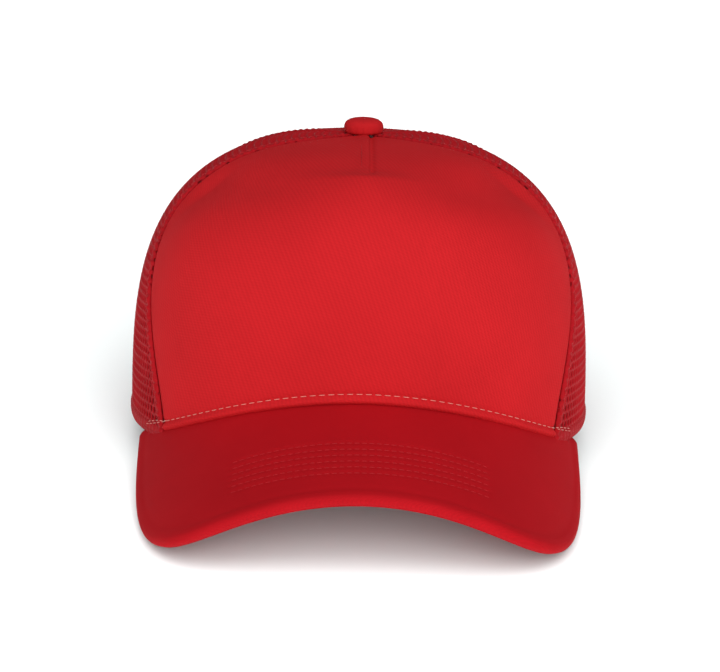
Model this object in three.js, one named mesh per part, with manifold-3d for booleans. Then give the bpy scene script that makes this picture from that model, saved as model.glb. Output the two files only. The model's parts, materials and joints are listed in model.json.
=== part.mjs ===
// A five-panel trucker cap with a mesh back, a curved visor and a snap closure, in millimetres.
// The cap is drawn level, with its hem in the plane z = 0 and its front towards -Y, and is then
// tipped back, so that it rests on the two low corners of its visor and on its rear hem.
// Azimuth is measured round the crown from the front (0) through the wearer's left, +X, to the
// rear (180 degrees). Depth is measured from the crown's outer surface inwards.
import * as THREE from "three";
import { mergeVertices } from "three/addons/utils/BufferGeometryUtils.js";
import Module from "manifold-3d";

const wasm = await Module();
wasm.setup();

const DEGREE = Math.PI / 180;

// Crown: a superellipse in plan, and a profile whose corners sharpen from rear to side to front.
const CROWN_HALF_WIDTH = 92.5;
const CROWN_FRONT = 99.6;
const CROWN_REAR = 97;
const CROWN_HEIGHT = 115;
const PLAN_POWER = 2.16;
const FRONT_PROFILE = { height: 0.314, radius: 0.584 };
const SIDE_PROFILE = { height: 0.597, radius: 0.77 };
const REAR_PROFILE = { height: 0.8, radius: 0.8 };
const FRONT_LEAN = 6.9;
const APEX_HOLE_RADIUS = 3;
const CROWN_ROWS = 16;
const UPRIGHT_LIFT = 0.5 * DEGREE;
const FRONT_COLUMNS = 22;
const SIDE_COLUMNS = 10;
const REAR_COLUMNS = 12;

// Seams between the five panels, as azimuths in degrees at the hem and at the apex.
const FRONT_SEAM = { hem: 52.7, apex: 45.7, bulge: 23.9, skew: 1.37 };
const SIDE_SEAM = { hem: 121, apex: 120, bulge: 0, skew: 1 };
const REAR_SEAM = { hem: 180, apex: 180, bulge: 0, skew: 1 };

// Layers of the crown wall, as [outer depth, inner depth].
const PANEL_LAYER = [0, 1];
const BACKING_LAYER = [1.3, 2.1];
const MESH_TAPE_LAYER = [1.3, 1.9];
const FRONT_TAPE_LAYER = [2.4, 3];
const STIFFENER_LAYER = [3.3, 4.1];
const SWEATBAND_LAYER = [4.4, 5.2];
const CLEARANCE = 0.3;
const TAPE_WIDTH = 12;
const TAPE_TOP_ROW = CROWN_ROWS - 1;
const REAR_TAPE_FIRST_ROW = 8;
const BACKING_MARGIN = 1;
const SWEATBAND_HEIGHT = 33;
const STIFFENER_HEIGHT = 31;
const SWEATBAND_END = 141;
const SWEATBAND_SETBACK = 0.5;
const SWEATBAND_COLUMNS = 36;
const SWEATBAND_ROWS = 3;

// Visor: a flat board bent into a cylinder whose axis runs forwards and down.
const VISOR_BEND_RADIUS = 107.2;
const VISOR_PITCH = 17.3 * DEGREE;
const VISOR_ROOT_HEIGHT = 26;
const VISOR_LENGTH = 66.4;
const VISOR_HALF_WIDTH = 103.8;
const VISOR_CORNER_SETBACK = 49.6;
const VISOR_OUTLINE = { across: 0.377, along: 0.743 };
const VISOR_COLUMNS = 40;
const VISOR_ROWS = 3;
const VISOR_SWEEP = 75 * DEGREE;
const VISOR_TIP_AZIMUTH = 59;
const POCKET_TIP_AZIMUTH = 58;
const BOARD_TIP_AZIMUTH = 57.4;
const VISOR_CLOTH = 1;
const VISOR_BOARD = 2;
const VISOR_THICKNESS = 2 * VISOR_CLOTH + VISOR_BOARD + 2 * CLEARANCE;
const VISOR_EDGE_WRAP = 1.2;
const POCKET_RUNOUT = 2;

// Rear arch opening, and the folded tape that binds its edge.
const ARCH_HALF_WIDTH = 48;
const ARCH_STRAIGHT = 14;
const ARCH_HEIGHT = 56;
const BINDING_WIDTH = 8;
const BINDING_EDGE = 1.2;
const BINDING_LAYER = [-1.1, 2.1];
const BINDING_SKIN = { spread: 46, start: 0.5, top: 70 };
const SLOT_SKIN = { spread: 50, start: 0, top: 72 };
const ARCH_SEGMENTS = 14;
const SKIN_COLUMNS = 24;
const SKIN_ROWS = 9;

// Cutting solids reach this far through the rear wall, and this far past it.
const CUT_DEPTH = 80;
const CUT_MARGIN = 10;

// Snap closure: two curved straps that overlap behind the arch.
const STRAP_RADIUS = 115;
const STRAP_CENTRE_Y = -26.7;
const STRAP_THICKNESS = 1.4;
const STRAP_BOTTOM = 1;
const STRAP_HEIGHT = 20;
const STRAP_HINGE_X = 44.5;
const STRAP_FLEX_GAP = 0.9;
const STRAP_ROOT_X = 57;
const STRAP_FREE_END_X = -21;
const STRAP_CORNER = 7;
const SNAP_PITCH = 8;
const SNAP_COUNT = 7;
const FIRST_SNAP_X = -2 * SNAP_PITCH;
const HOLE_DIAMETER = 5.2;
const STUD_DIAMETER = 3.6;
const STUD_HEIGHT = 2.3;
const SNAP_SIDES = 12;
const SNAP_RUNOUT = 2;

// Top button: a cloth-covered shell whose prong is clinched to a ring inside the crown.
const BUTTON_RADIUS = 8;
const BUTTON_HEIGHT = 6.4;
const BUTTON_COVER = 0.8;
const BUTTON_FOOT = 1.2;
const BUTTON_LIP = 0.7;
const BUTTON_DOME = { across: 0.8, up: 0.7, steps: 4 };
const BUTTON_SIDES = 20;
const SHELL_THICKNESS = 0.8;
const SHELL_FOOT = 1.4;
const PRONG_RADIUS = 1.5;
const PRONG_LENGTH = 3.6;
const BUTTON_RING_RADIUS = 11;
const BUTTON_RING_THICKNESS = 1.1;

const finish = (name, color, roughness, metalness = 0) =>
  new THREE.MeshStandardMaterial({ name, color, roughness, metalness });
const materials = {
  twill: finish("red_twill", 0xb8242c, 0.85),
  mesh: finish("red_mesh", 0xa81f27, 0.85),
  tape: finish("red_tape", 0xa01c24, 0.85),
  lining: finish("white_buckram", 0xe6e2da, 0.9),
  board: finish("white_board", 0xe8e8e6, 0.6),
  strap: finish("red_plastic", 0xb01e26, 0.35),
  metal: finish("button_metal", 0xb8b8b8, 0.4, 1),
};

const cap = new THREE.Group();

function addPart(name, geometry, material) {
  geometry.computeVertexNormals();
  const mesh = new THREE.Mesh(geometry, material);
  mesh.name = name;
  cap.add(mesh);
}

// ---------------------------------------------------------------- crown surface

function planRadius(azimuth) {
  const across = Math.abs(Math.sin(azimuth)) / CROWN_HALF_WIDTH;
  const along = Math.abs(Math.cos(azimuth)) / (Math.cos(azimuth) > 0 ? CROWN_FRONT : CROWN_REAR);
  return Math.pow(Math.pow(across, PLAN_POWER) + Math.pow(along, PLAN_POWER), -1 / PLAN_POWER);
}

function profileAt(azimuth) {
  const weight = Math.cos(azimuth) ** 2;
  const end = Math.cos(azimuth) > 0 ? FRONT_PROFILE : REAR_PROFILE;
  return {
    height: THREE.MathUtils.lerp(SIDE_PROFILE.height, end.height, weight),
    radius: THREE.MathUtils.lerp(SIDE_PROFILE.radius, end.radius, weight),
  };
}

// Lift is the profile's own angle: 0 in the hem plane, 90 degrees at the apex.
function crownPoint(azimuth, lift) {
  const profile = profileAt(azimuth);
  const spread = Math.pow(Math.cos(lift), profile.radius);
  const radius = planRadius(azimuth) * spread;
  const frontness = Math.cos(azimuth) > 0 ? Math.cos(azimuth) ** 2 : 0;
  const lean = FRONT_LEAN * frontness * Math.sin(lift) * spread;
  return new THREE.Vector3(
    radius * Math.sin(azimuth),
    -radius * Math.cos(azimuth) + lean,
    CROWN_HEIGHT * Math.pow(Math.sin(lift), profile.height),
  );
}

// The wall stands upright along its hem, so that the hem's cut edge is level.
function crownNormal(azimuth, lift) {
  const step = 1e-3;
  const middle = THREE.MathUtils.clamp(lift, 2 * step, Math.PI / 2 - 2 * step);
  const round = crownPoint(azimuth + step, middle).sub(crownPoint(azimuth - step, middle));
  const rise = crownPoint(azimuth, middle + step).sub(crownPoint(azimuth, middle - step));
  const normal = round.cross(rise);
  if (lift < UPRIGHT_LIFT) normal.setZ(0);
  return normal.normalize();
}

function liftAtHeight(azimuth, height) {
  return Math.asin(Math.pow(Math.max(height, 0) / CROWN_HEIGHT, 1 / profileAt(azimuth).height));
}

function liftAtRadius(azimuth, radius) {
  return Math.acos(Math.pow(radius / planRadius(azimuth), 1 / profileAt(azimuth).radius));
}

// Lifts spaced close together at both ends, with the length of the profile up to each.
function profileLengths(azimuth, lowLift, highLift) {
  const samples = 48;
  const lifts = [];
  const lengths = [];
  let previous = null;
  for (let i = 0; i <= samples; i++) {
    const share = Math.sin((i / samples) * (Math.PI / 2)) ** 2;
    const point = crownPoint(azimuth, THREE.MathUtils.lerp(lowLift, highLift, share));
    lifts.push(THREE.MathUtils.lerp(lowLift, highLift, share));
    lengths.push(previous ? lengths[i - 1] + point.distanceTo(previous) : 0);
    previous = point;
  }
  return { lifts, lengths };
}

function liftAlong(azimuth, lowLift, highLift, share) {
  const { lifts, lengths } = profileLengths(azimuth, lowLift, highLift);
  const wanted = share * lengths[lengths.length - 1];
  const after = Math.max(1, lengths.findIndex((length) => length >= wanted - 1e-9));
  const part = (wanted - lengths[after - 1]) / (lengths[after] - lengths[after - 1]);
  return THREE.MathUtils.lerp(lifts[after - 1], lifts[after], part);
}

// ---------------------------------------------------------------- visor surface

// Bend is the angle round the visor's cylinder, reach is the distance along its axis.
function visorPoint(bend, reach, depth = 0) {
  const radius = VISOR_BEND_RADIUS - depth;
  const drop = radius * Math.cos(bend) - VISOR_BEND_RADIUS;
  return new THREE.Vector3(
    radius * Math.sin(bend),
    -CROWN_FRONT - reach * Math.cos(VISOR_PITCH) - drop * Math.sin(VISOR_PITCH),
    VISOR_ROOT_HEIGHT - reach * Math.sin(VISOR_PITCH) + drop * Math.cos(VISOR_PITCH),
  );
}

// How far the visor's surface, at a given depth, drops from its crest at a given x.
function visorDrop(x, depth) {
  return Math.sqrt(Math.max(0, (VISOR_BEND_RADIUS - depth) ** 2 - x ** 2)) - VISOR_BEND_RADIUS;
}

// Where the visor's surface, at a given depth, meets the crown wall.
function visorRoot(azimuth, depth) {
  const passes = 12;
  let height = 0;
  let wall = null;
  for (let i = 0; i < passes; i++) {
    wall = crownPoint(azimuth, liftAtHeight(azimuth, height));
    const fall = visorDrop(wall.x, depth) / Math.cos(VISOR_PITCH);
    height = VISOR_ROOT_HEIGHT + Math.tan(VISOR_PITCH) * (CROWN_FRONT + wall.y) + fall;
  }
  return new THREE.Vector3(wall.x, wall.y, height);
}

// The crown's bottom edge: it follows the visor's underside in front and is level elsewhere.
function hemHeight(azimuth) {
  const front = Math.abs(((azimuth + Math.PI) % (2 * Math.PI)) - Math.PI);
  if (front > VISOR_SWEEP) return 0;
  return Math.max(0, visorRoot(azimuth, VISOR_THICKNESS).z);
}

// ---------------------------------------------------------------- solids

// A closed solid between two skins of points, point(i, j, inner), with i round and j upwards.
function gridSolid(columns, rows, point) {
  const positions = [];
  const index = [];
  const perSkin = (columns + 1) * (rows + 1);
  for (const inner of [false, true])
    for (let j = 0; j <= rows; j++)
      for (let i = 0; i <= columns; i++) positions.push(...point(i, j, inner).toArray());
  const at = (i, j, inner) => (inner ? perSkin : 0) + j * (columns + 1) + i;
  const quad = (a, b, c, d) => index.push(a, b, c, a, c, d);
  for (let j = 0; j < rows; j++)
    for (let i = 0; i < columns; i++) {
      quad(at(i, j), at(i + 1, j), at(i + 1, j + 1), at(i, j + 1));
      quad(at(i, j, true), at(i, j + 1, true), at(i + 1, j + 1, true), at(i + 1, j, true));
    }
  for (let i = 0; i < columns; i++) {
    quad(at(i, 0), at(i, 0, true), at(i + 1, 0, true), at(i + 1, 0));
    quad(at(i, rows), at(i + 1, rows), at(i + 1, rows, true), at(i, rows, true));
  }
  for (let j = 0; j < rows; j++) {
    quad(at(0, j), at(0, j + 1), at(0, j + 1, true), at(0, j, true));
    quad(at(columns, j), at(columns, j, true), at(columns, j + 1, true), at(columns, j + 1));
  }
  const geometry = new THREE.BufferGeometry();
  geometry.setAttribute("position", new THREE.Float32BufferAttribute(positions, 3));
  geometry.setIndex(index);
  return geometry;
}

function toSolid(geometry) {
  const bare = geometry.clone();
  bare.deleteAttribute("normal");
  bare.deleteAttribute("uv");
  const merged = mergeVertices(bare, 1e-3);
  return new wasm.Manifold(
    new wasm.Mesh({
      numProp: 3,
      vertProperties: new Float32Array(merged.attributes.position.array),
      triVerts: new Uint32Array(merged.index.array),
    }),
  );
}

function toGeometry(solid) {
  const { vertProperties, triVerts } = solid.getMesh();
  const geometry = new THREE.BufferGeometry();
  geometry.setAttribute("position", new THREE.Float32BufferAttribute(vertProperties, 3));
  geometry.setIndex(Array.from(triVerts));
  return geometry;
}

// A seam's azimuth at a given share of the way up the crown; side is 1 for +X and -1 for -X.
function seamAzimuth(seam, rise) {
  const straight = THREE.MathUtils.lerp(seam.hem, seam.apex, rise);
  return (straight + seam.bulge * Math.sin(Math.PI * Math.pow(rise, seam.skew))) * DEGREE;
}

// A layer of the crown between two azimuths that depend on the rise.
function crownLayer({ layer, from, to, columns, rows, lift }) {
  return gridSolid(columns, rows, (i, j, inner) => {
    const rise = j / rows;
    const azimuth = THREE.MathUtils.lerp(from(rise), to(rise), i / columns);
    const angle = lift(azimuth, rise);
    const depth = inner ? layer[1] : layer[0];
    return crownPoint(azimuth, angle).addScaledVector(crownNormal(azimuth, angle), -depth);
  });
}

const panelLift = (azimuth, rise) =>
  liftAlong(
    azimuth,
    liftAtHeight(azimuth, hemHeight(azimuth)),
    liftAtRadius(azimuth, APEX_HOLE_RADIUS),
    rise,
  );

// Half of the clearance, or half of a strip's width, as an angle at the seam.
function seamMargin(seam, rise, distance) {
  const azimuth = seamAzimuth(seam, rise);
  const point = crownPoint(azimuth, panelLift(azimuth, rise));
  return distance / Math.hypot(point.x, point.y);
}

// A panel between two seams on one side of the cap.
function sidePanel(fromSeam, toSeam, side, layer, columns) {
  const edge = (seam, sign) => (rise) =>
    side * (seamAzimuth(seam, rise) + sign * seamMargin(seam, rise, CLEARANCE / 2));
  const edges = [edge(fromSeam, 1), edge(toSeam, -1)];
  if (side < 0) edges.reverse();
  const [from, to] = edges;
  return crownLayer({ layer, from, to, columns, rows: CROWN_ROWS, lift: panelLift });
}

function frontPanel(layer, margin) {
  const to = (rise) => seamAzimuth(FRONT_SEAM, rise) - seamMargin(FRONT_SEAM, rise, margin);
  const from = (rise) => -to(rise);
  return crownLayer({ layer, from, to, columns: FRONT_COLUMNS, rows: CROWN_ROWS, lift: panelLift });
}

// A tape that covers a seam from inside, from one of the crown's rows up to the button's ring.
function seamTape(seam, side, layer, firstRow) {
  const rows = TAPE_TOP_ROW - firstRow;
  const riseAt = (share) => (firstRow + share * rows) / CROWN_ROWS;
  const edge = (sign) => (share) =>
    side * seamAzimuth(seam, riseAt(share)) + sign * seamMargin(seam, riseAt(share), TAPE_WIDTH / 2);
  const lift = (azimuth, share) => panelLift(azimuth, riseAt(share));
  return crownLayer({ layer, from: edge(-1), to: edge(1), columns: 2, rows, lift });
}

// A band round the inside of the crown, above its hem and open behind.
function headBand(layer, height) {
  const end = SWEATBAND_END * DEGREE;
  const bottom = (azimuth) => hemHeight(azimuth) + SWEATBAND_SETBACK;
  return crownLayer({
    layer,
    from: () => -end,
    to: () => end,
    columns: SWEATBAND_COLUMNS,
    rows: SWEATBAND_ROWS,
    lift: (azimuth, share) => liftAtHeight(azimuth, bottom(azimuth) + share * height),
  });
}

// ---------------------------------------------------------------- rear arch

function archShape(grow) {
  const half = ARCH_HALF_WIDTH + grow;
  const shape = new THREE.Shape();
  shape.moveTo(-half, -CUT_MARGIN);
  shape.lineTo(half, -CUT_MARGIN);
  shape.lineTo(half, ARCH_STRAIGHT);
  shape.absellipse(0, ARCH_STRAIGHT, half, ARCH_HEIGHT - ARCH_STRAIGHT + grow, 0, Math.PI);
  return shape;
}

// The arch's outline carried straight through the rear of the crown.
function archSolid(grow) {
  const geometry = new THREE.ExtrudeGeometry(archShape(grow), {
    depth: CUT_DEPTH,
    bevelEnabled: false,
    curveSegments: ARCH_SEGMENTS,
  });
  geometry.rotateX(Math.PI / 2).translate(0, CROWN_REAR + CUT_MARGIN, 0);
  return toSolid(geometry);
}

function rearPanel(side) {
  const panel = sidePanel(SIDE_SEAM, REAR_SEAM, side, PANEL_LAYER, REAR_COLUMNS);
  return toGeometry(toSolid(panel).subtract(archSolid(0)));
}

// A skin of the crown round the arch, from a start height up past the arch.
function rearSkin(layer, { spread, start, top }) {
  return toSolid(
    crownLayer({
      layer,
      from: () => Math.PI - spread * DEGREE,
      to: () => Math.PI + spread * DEGREE,
      columns: SKIN_COLUMNS,
      rows: SKIN_ROWS,
      lift: (azimuth, share) => liftAtHeight(azimuth, THREE.MathUtils.lerp(start, top, share)),
    }),
  );
}

// The binding is a folded tape: an outer and an inner flange joined round the arch's edge.
function openingBinding() {
  const slotLayer = [PANEL_LAYER[0] - CLEARANCE, PANEL_LAYER[1] + CLEARANCE];
  const slot = rearSkin(slotLayer, SLOT_SKIN).subtract(archSolid(-CLEARANCE));
  const band = rearSkin(BINDING_LAYER, BINDING_SKIN)
    .intersect(archSolid(BINDING_WIDTH))
    .subtract(archSolid(-BINDING_EDGE));
  return toGeometry(band.subtract(slot));
}

// ---------------------------------------------------------------- visor

function outlinePoint(angle, inset, depth) {
  const across = Math.sign(Math.cos(angle)) * Math.pow(Math.abs(Math.cos(angle)), VISOR_OUTLINE.across);
  const along = Math.pow(Math.abs(Math.sin(angle)), VISOR_OUTLINE.along);
  const bend = (-across * (VISOR_HALF_WIDTH - inset)) / VISOR_BEND_RADIUS;
  const reach = -VISOR_CORNER_SETBACK + along * (VISOR_LENGTH - inset + VISOR_CORNER_SETBACK);
  return { bend, reach, point: visorPoint(bend, reach, depth) };
}

// The outline's point at a given azimuth: the outline's own angle runs from the -X corner to +X.
function outlineAtAzimuth(azimuth, inset) {
  let low = 0;
  let high = Math.PI;
  for (let i = 0; i < 30; i++) {
    const middle = (low + high) / 2;
    const { point } = outlinePoint(middle, inset, 0);
    if (Math.atan2(point.x, -point.y) < azimuth) low = middle;
    else high = middle;
  }
  return outlinePoint(low, inset, 0);
}

// A layer of the visor from the crown wall out to its outline, whose edge is moved in by inset.
function visorLayer(layer, inset, rootGap, tipAzimuth) {
  const azimuths = [];
  for (let i = 0; i <= VISOR_COLUMNS; i++)
    azimuths.push(THREE.MathUtils.lerp(-BOARD_TIP_AZIMUTH, BOARD_TIP_AZIMUTH, i / VISOR_COLUMNS));
  if (tipAzimuth > BOARD_TIP_AZIMUTH) {
    azimuths.unshift(-tipAzimuth);
    azimuths.push(tipAzimuth);
  }
  return gridSolid(azimuths.length - 1, VISOR_ROWS, (i, j, inner) => {
    const azimuth = azimuths[i] * DEGREE;
    const depth = inner ? layer[1] : layer[0];
    const outer = outlineAtAzimuth(azimuth, inset);
    const away = new THREE.Vector3(Math.sin(azimuth), -Math.cos(azimuth), 0);
    const wall = visorRoot(azimuth, depth).addScaledVector(away, rootGap);
    const rootBend = Math.asin(wall.x / (VISOR_BEND_RADIUS - depth));
    const fall = visorDrop(wall.x, depth) * Math.sin(VISOR_PITCH);
    const rootReach = (-CROWN_FRONT - wall.y - fall) / Math.cos(VISOR_PITCH);
    const share = 1 - j / VISOR_ROWS;
    return visorPoint(
      THREE.MathUtils.lerp(rootBend, outer.bend, share),
      THREE.MathUtils.lerp(rootReach, outer.reach, share),
      depth,
    );
  });
}

const BOARD_TOP = VISOR_CLOTH + CLEARANCE;
const VISOR_MIDDLE = VISOR_THICKNESS / 2;
const BOARD_LAYER = [BOARD_TOP, BOARD_TOP + VISOR_BOARD];
const POCKET_LAYER = [VISOR_CLOTH, VISOR_THICKNESS - VISOR_CLOTH];
const visorBoard = () =>
  visorLayer(BOARD_LAYER, VISOR_EDGE_WRAP + CLEARANCE, 2 * CLEARANCE, BOARD_TIP_AZIMUTH);

// Each cloth covers one face of the board and half of its edge.
function visorCloth(layer) {
  const pocket = visorLayer(POCKET_LAYER, VISOR_EDGE_WRAP, -POCKET_RUNOUT, POCKET_TIP_AZIMUTH);
  const cloth = visorLayer(layer, 0, CLEARANCE, VISOR_TIP_AZIMUTH);
  return toGeometry(toSolid(cloth).subtract(toSolid(pocket)));
}

// ---------------------------------------------------------------- snap closure

// A point of the closure's arc at a given x and radius; side mirrors it.
function strapPoint(x, radius, side) {
  return new THREE.Vector2(side * x, STRAP_CENTRE_Y + Math.sqrt(radius ** 2 - x ** 2));
}

// A curved band between two x positions on the arc, STRAP_HEIGHT tall.
function strapBand(innerRadius, fromX, toX, side) {
  const steps = 14;
  const outer = [];
  const inner = [];
  for (let i = 0; i <= steps; i++) {
    const x = THREE.MathUtils.lerp(fromX, toX, i / steps);
    outer.push(strapPoint(x, innerRadius + STRAP_THICKNESS, side));
    inner.push(strapPoint(x, innerRadius, side));
  }
  const outline = [...outer, ...inner.reverse()];
  const geometry = new THREE.ExtrudeGeometry(new THREE.Shape(outline), {
    depth: STRAP_HEIGHT,
    bevelEnabled: false,
  });
  return toSolid(geometry.translate(0, 0, STRAP_BOTTOM));
}

// The strap's outline seen from behind: square at the hinge and rounded at the free end.
function strapOutline(side) {
  const shape = new THREE.Shape();
  const top = STRAP_BOTTOM + STRAP_HEIGHT;
  const end = STRAP_FREE_END_X;
  shape.moveTo(STRAP_ROOT_X, STRAP_BOTTOM);
  shape.lineTo(STRAP_ROOT_X, top);
  shape.lineTo(end + STRAP_CORNER, top);
  shape.absarc(end + STRAP_CORNER, top - STRAP_CORNER, STRAP_CORNER, Math.PI / 2, Math.PI);
  shape.absarc(end + STRAP_CORNER, STRAP_BOTTOM + STRAP_CORNER, STRAP_CORNER, Math.PI, 1.5 * Math.PI);
  const cornerSteps = 4;
  const points = shape.getPoints(cornerSteps).map((p) => new THREE.Vector2(side * p.x, p.y));
  const settings = { depth: CUT_DEPTH, bevelEnabled: false };
  const geometry = new THREE.ExtrudeGeometry(new THREE.Shape(points), settings);
  return toSolid(geometry.rotateX(Math.PI / 2).translate(0, CROWN_REAR + CUT_MARGIN, 0));
}

// A round bar square to the strap at the given x, from one radius of the arc to another.
function snapBar(x, fromRadius, toRadius, diameter, side) {
  const length = toRadius - fromRadius;
  const bar = new THREE.CylinderGeometry(diameter / 2, diameter / 2, length, SNAP_SIDES);
  const angle = Math.asin(x / STRAP_RADIUS);
  bar.translate(0, (fromRadius + toRadius) / 2, 0).rotateZ(-side * angle);
  return toSolid(bar.translate(0, STRAP_CENTRE_Y, STRAP_BOTTOM + STRAP_HEIGHT / 2));
}

const HOLE_STRAP_RADIUS = STRAP_RADIUS + CLEARANCE;
const STUD_STRAP_RADIUS = STRAP_RADIUS - STRAP_THICKNESS;
const HOLE_SIDE = -1;
const STUD_SIDE = 1;

function holeStrap() {
  const holeStart = HOLE_STRAP_RADIUS - SNAP_RUNOUT;
  const holeEnd = HOLE_STRAP_RADIUS + STRAP_THICKNESS + SNAP_RUNOUT;
  let strap = strapBand(HOLE_STRAP_RADIUS, STRAP_FREE_END_X, STRAP_HINGE_X, HOLE_SIDE);
  strap = strap.intersect(strapOutline(HOLE_SIDE));
  for (let i = 0; i < SNAP_COUNT; i++) {
    const x = FIRST_SNAP_X + i * SNAP_PITCH;
    strap = strap.subtract(snapBar(x, holeStart, holeEnd, HOLE_DIAMETER, HOLE_SIDE));
  }
  return toGeometry(strap);
}

function studStrap() {
  const studStart = STRAP_RADIUS - STRAP_THICKNESS / 2;
  const studEnd = STRAP_RADIUS + STUD_HEIGHT;
  let strap = strapBand(STUD_STRAP_RADIUS, STRAP_FREE_END_X, STRAP_HINGE_X, STUD_SIDE);
  strap = strap.intersect(strapOutline(STUD_SIDE));
  for (let i = 0; i < SNAP_COUNT; i++) {
    const x = FIRST_SNAP_X + i * SNAP_PITCH;
    strap = strap.add(snapBar(x, studStart, studEnd, STUD_DIAMETER, STUD_SIDE));
  }
  return toGeometry(strap);
}

// The sewn end of a strap, past its flex line.
const strapRoot = (innerRadius, side) =>
  toGeometry(strapBand(innerRadius, STRAP_HINGE_X + STRAP_FLEX_GAP, STRAP_ROOT_X, side));

// ---------------------------------------------------------------- top button

function lathe(points) {
  const profile = points.map(([radius, height]) => new THREE.Vector2(radius, height));
  const geometry = new THREE.LatheGeometry(profile, BUTTON_SIDES).rotateX(Math.PI / 2);
  return geometry.translate(0, 0, CROWN_HEIGHT);
}

// A dome's profile from its axis out to its foot.
function domeProfile(radius, height, foot) {
  const points = [];
  for (let i = 0; i <= BUTTON_DOME.steps; i++) {
    const angle = (i / BUTTON_DOME.steps) * (Math.PI / 2);
    const across = radius * Math.sin(angle) ** BUTTON_DOME.across;
    const up = (height - foot) * Math.cos(angle) ** BUTTON_DOME.up;
    points.push([across, foot + up]);
  }
  points[0][0] = 0;
  return points;
}

function buttonCover() {
  const outer = domeProfile(BUTTON_RADIUS, BUTTON_HEIGHT, BUTTON_FOOT);
  const inner = domeProfile(BUTTON_RADIUS - BUTTON_COVER, BUTTON_HEIGHT - BUTTON_COVER, BUTTON_FOOT);
  const lip = [
    [BUTTON_RADIUS - 2 * BUTTON_LIP, CLEARANCE],
    [BUTTON_RADIUS - BUTTON_LIP, CLEARANCE],
  ];
  return lathe([...inner, ...lip, ...outer.reverse()]);
}

function buttonShell() {
  const gap = BUTTON_COVER + CLEARANCE;
  const wall = gap + SHELL_THICKNESS;
  const outer = domeProfile(BUTTON_RADIUS - gap, BUTTON_HEIGHT - gap, SHELL_FOOT);
  const inner = domeProfile(BUTTON_RADIUS - wall, BUTTON_HEIGHT - wall, SHELL_FOOT);
  inner[0][0] = PRONG_RADIUS;
  return lathe([[0, -PRONG_LENGTH], [PRONG_RADIUS, -PRONG_LENGTH], ...inner, ...outer.reverse()]);
}

function buttonRing() {
  const bore = PRONG_RADIUS + CLEARANCE;
  const top = -BACKING_LAYER[1] - CLEARANCE;
  const bottom = top - BUTTON_RING_THICKNESS;
  const face = [
    [bore, bottom],
    [BUTTON_RING_RADIUS, bottom],
    [BUTTON_RING_RADIUS, top],
    [bore, top],
    [bore, bottom],
  ];
  return lathe(face);
}

// ---------------------------------------------------------------- assembly

addPart("front_panel", frontPanel(PANEL_LAYER, CLEARANCE / 2), materials.twill);
addPart("front_panel_backing", frontPanel(BACKING_LAYER, BACKING_MARGIN), materials.lining);
for (const [suffix, side] of [["left", 1], ["right", -1]]) {
  const sideMesh = sidePanel(FRONT_SEAM, SIDE_SEAM, side, PANEL_LAYER, SIDE_COLUMNS);
  addPart(`side_mesh_${suffix}`, sideMesh, materials.mesh);
  addPart(`rear_mesh_${suffix}`, rearPanel(side), materials.mesh);
  addPart(`front_seam_tape_${suffix}`, seamTape(FRONT_SEAM, side, FRONT_TAPE_LAYER, 0), materials.tape);
  addPart(`side_seam_tape_${suffix}`, seamTape(SIDE_SEAM, side, MESH_TAPE_LAYER, 0), materials.tape);
}
addPart("rear_seam_tape", seamTape(REAR_SEAM, 1, MESH_TAPE_LAYER, REAR_TAPE_FIRST_ROW), materials.tape);
addPart("opening_binding", openingBinding(), materials.tape);
addPart("sweatband_stiffener", headBand(STIFFENER_LAYER, STIFFENER_HEIGHT), materials.lining);
addPart("sweatband", headBand(SWEATBAND_LAYER, SWEATBAND_HEIGHT), materials.tape);
addPart("visor_board", visorBoard(), materials.board);
addPart("visor_top_cloth", visorCloth([0, VISOR_MIDDLE - CLEARANCE / 2]), materials.twill);
addPart("visor_under_cloth", visorCloth([VISOR_MIDDLE + CLEARANCE / 2, VISOR_THICKNESS]), materials.twill);
addPart("button_cover", buttonCover(), materials.twill);
addPart("button_shell", buttonShell(), materials.metal);
addPart("button_ring", buttonRing(), materials.metal);
addPart("hole_strap", holeStrap(), materials.strap);
addPart("stud_strap", studStrap(), materials.strap);
addPart("hole_strap_root", strapRoot(HOLE_STRAP_RADIUS, HOLE_SIDE), materials.strap);
addPart("stud_strap_root", strapRoot(STUD_STRAP_RADIUS, STUD_SIDE), materials.strap);

// Tip the cap until its visor corners are as low as its hem beside the arch, then set it on z = 0
// with the middle of its box on the axis.
function lowestVisorPoint() {
  let lowest = visorPoint(0, 0);
  for (let angle = 1; angle < 90; angle++) {
    const { point } = outlinePoint(angle * DEGREE, 0, VISOR_THICKNESS);
    if (point.z < lowest.z) lowest = point;
  }
  return lowest;
}

const corner = lowestVisorPoint();
const archShare = Math.pow(ARCH_HALF_WIDTH / CROWN_HALF_WIDTH, PLAN_POWER);
const rearHemY = CROWN_REAR * Math.pow(1 - archShare, 1 / PLAN_POWER);
cap.rotation.x = -Math.atan2(-corner.z, rearHemY - corner.y);
cap.updateMatrixWorld(true);
const box = new THREE.Box3().setFromObject(cap, true);
const centre = box.getCenter(new THREE.Vector3());
cap.position.set(-centre.x, -centre.y, -box.min.z);

const root = new THREE.Group();
root.add(cap);

export default root;
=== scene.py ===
"""A five-panel trucker cap: twill front and visor, knitted mesh sides and back, snap closure.

Shapes are worked out in the cap's own millimetres (hem plane z = 0, front towards -Y, wearer's
left towards +X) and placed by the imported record's head opening. Azimuth runs from the front (0)
through +X to the rear (pi). Share runs from the hem (0) to the apex (1) along the wall.
"""

import json
import math

import bpy
import numpy as np
from mathutils import Matrix, Vector


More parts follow.
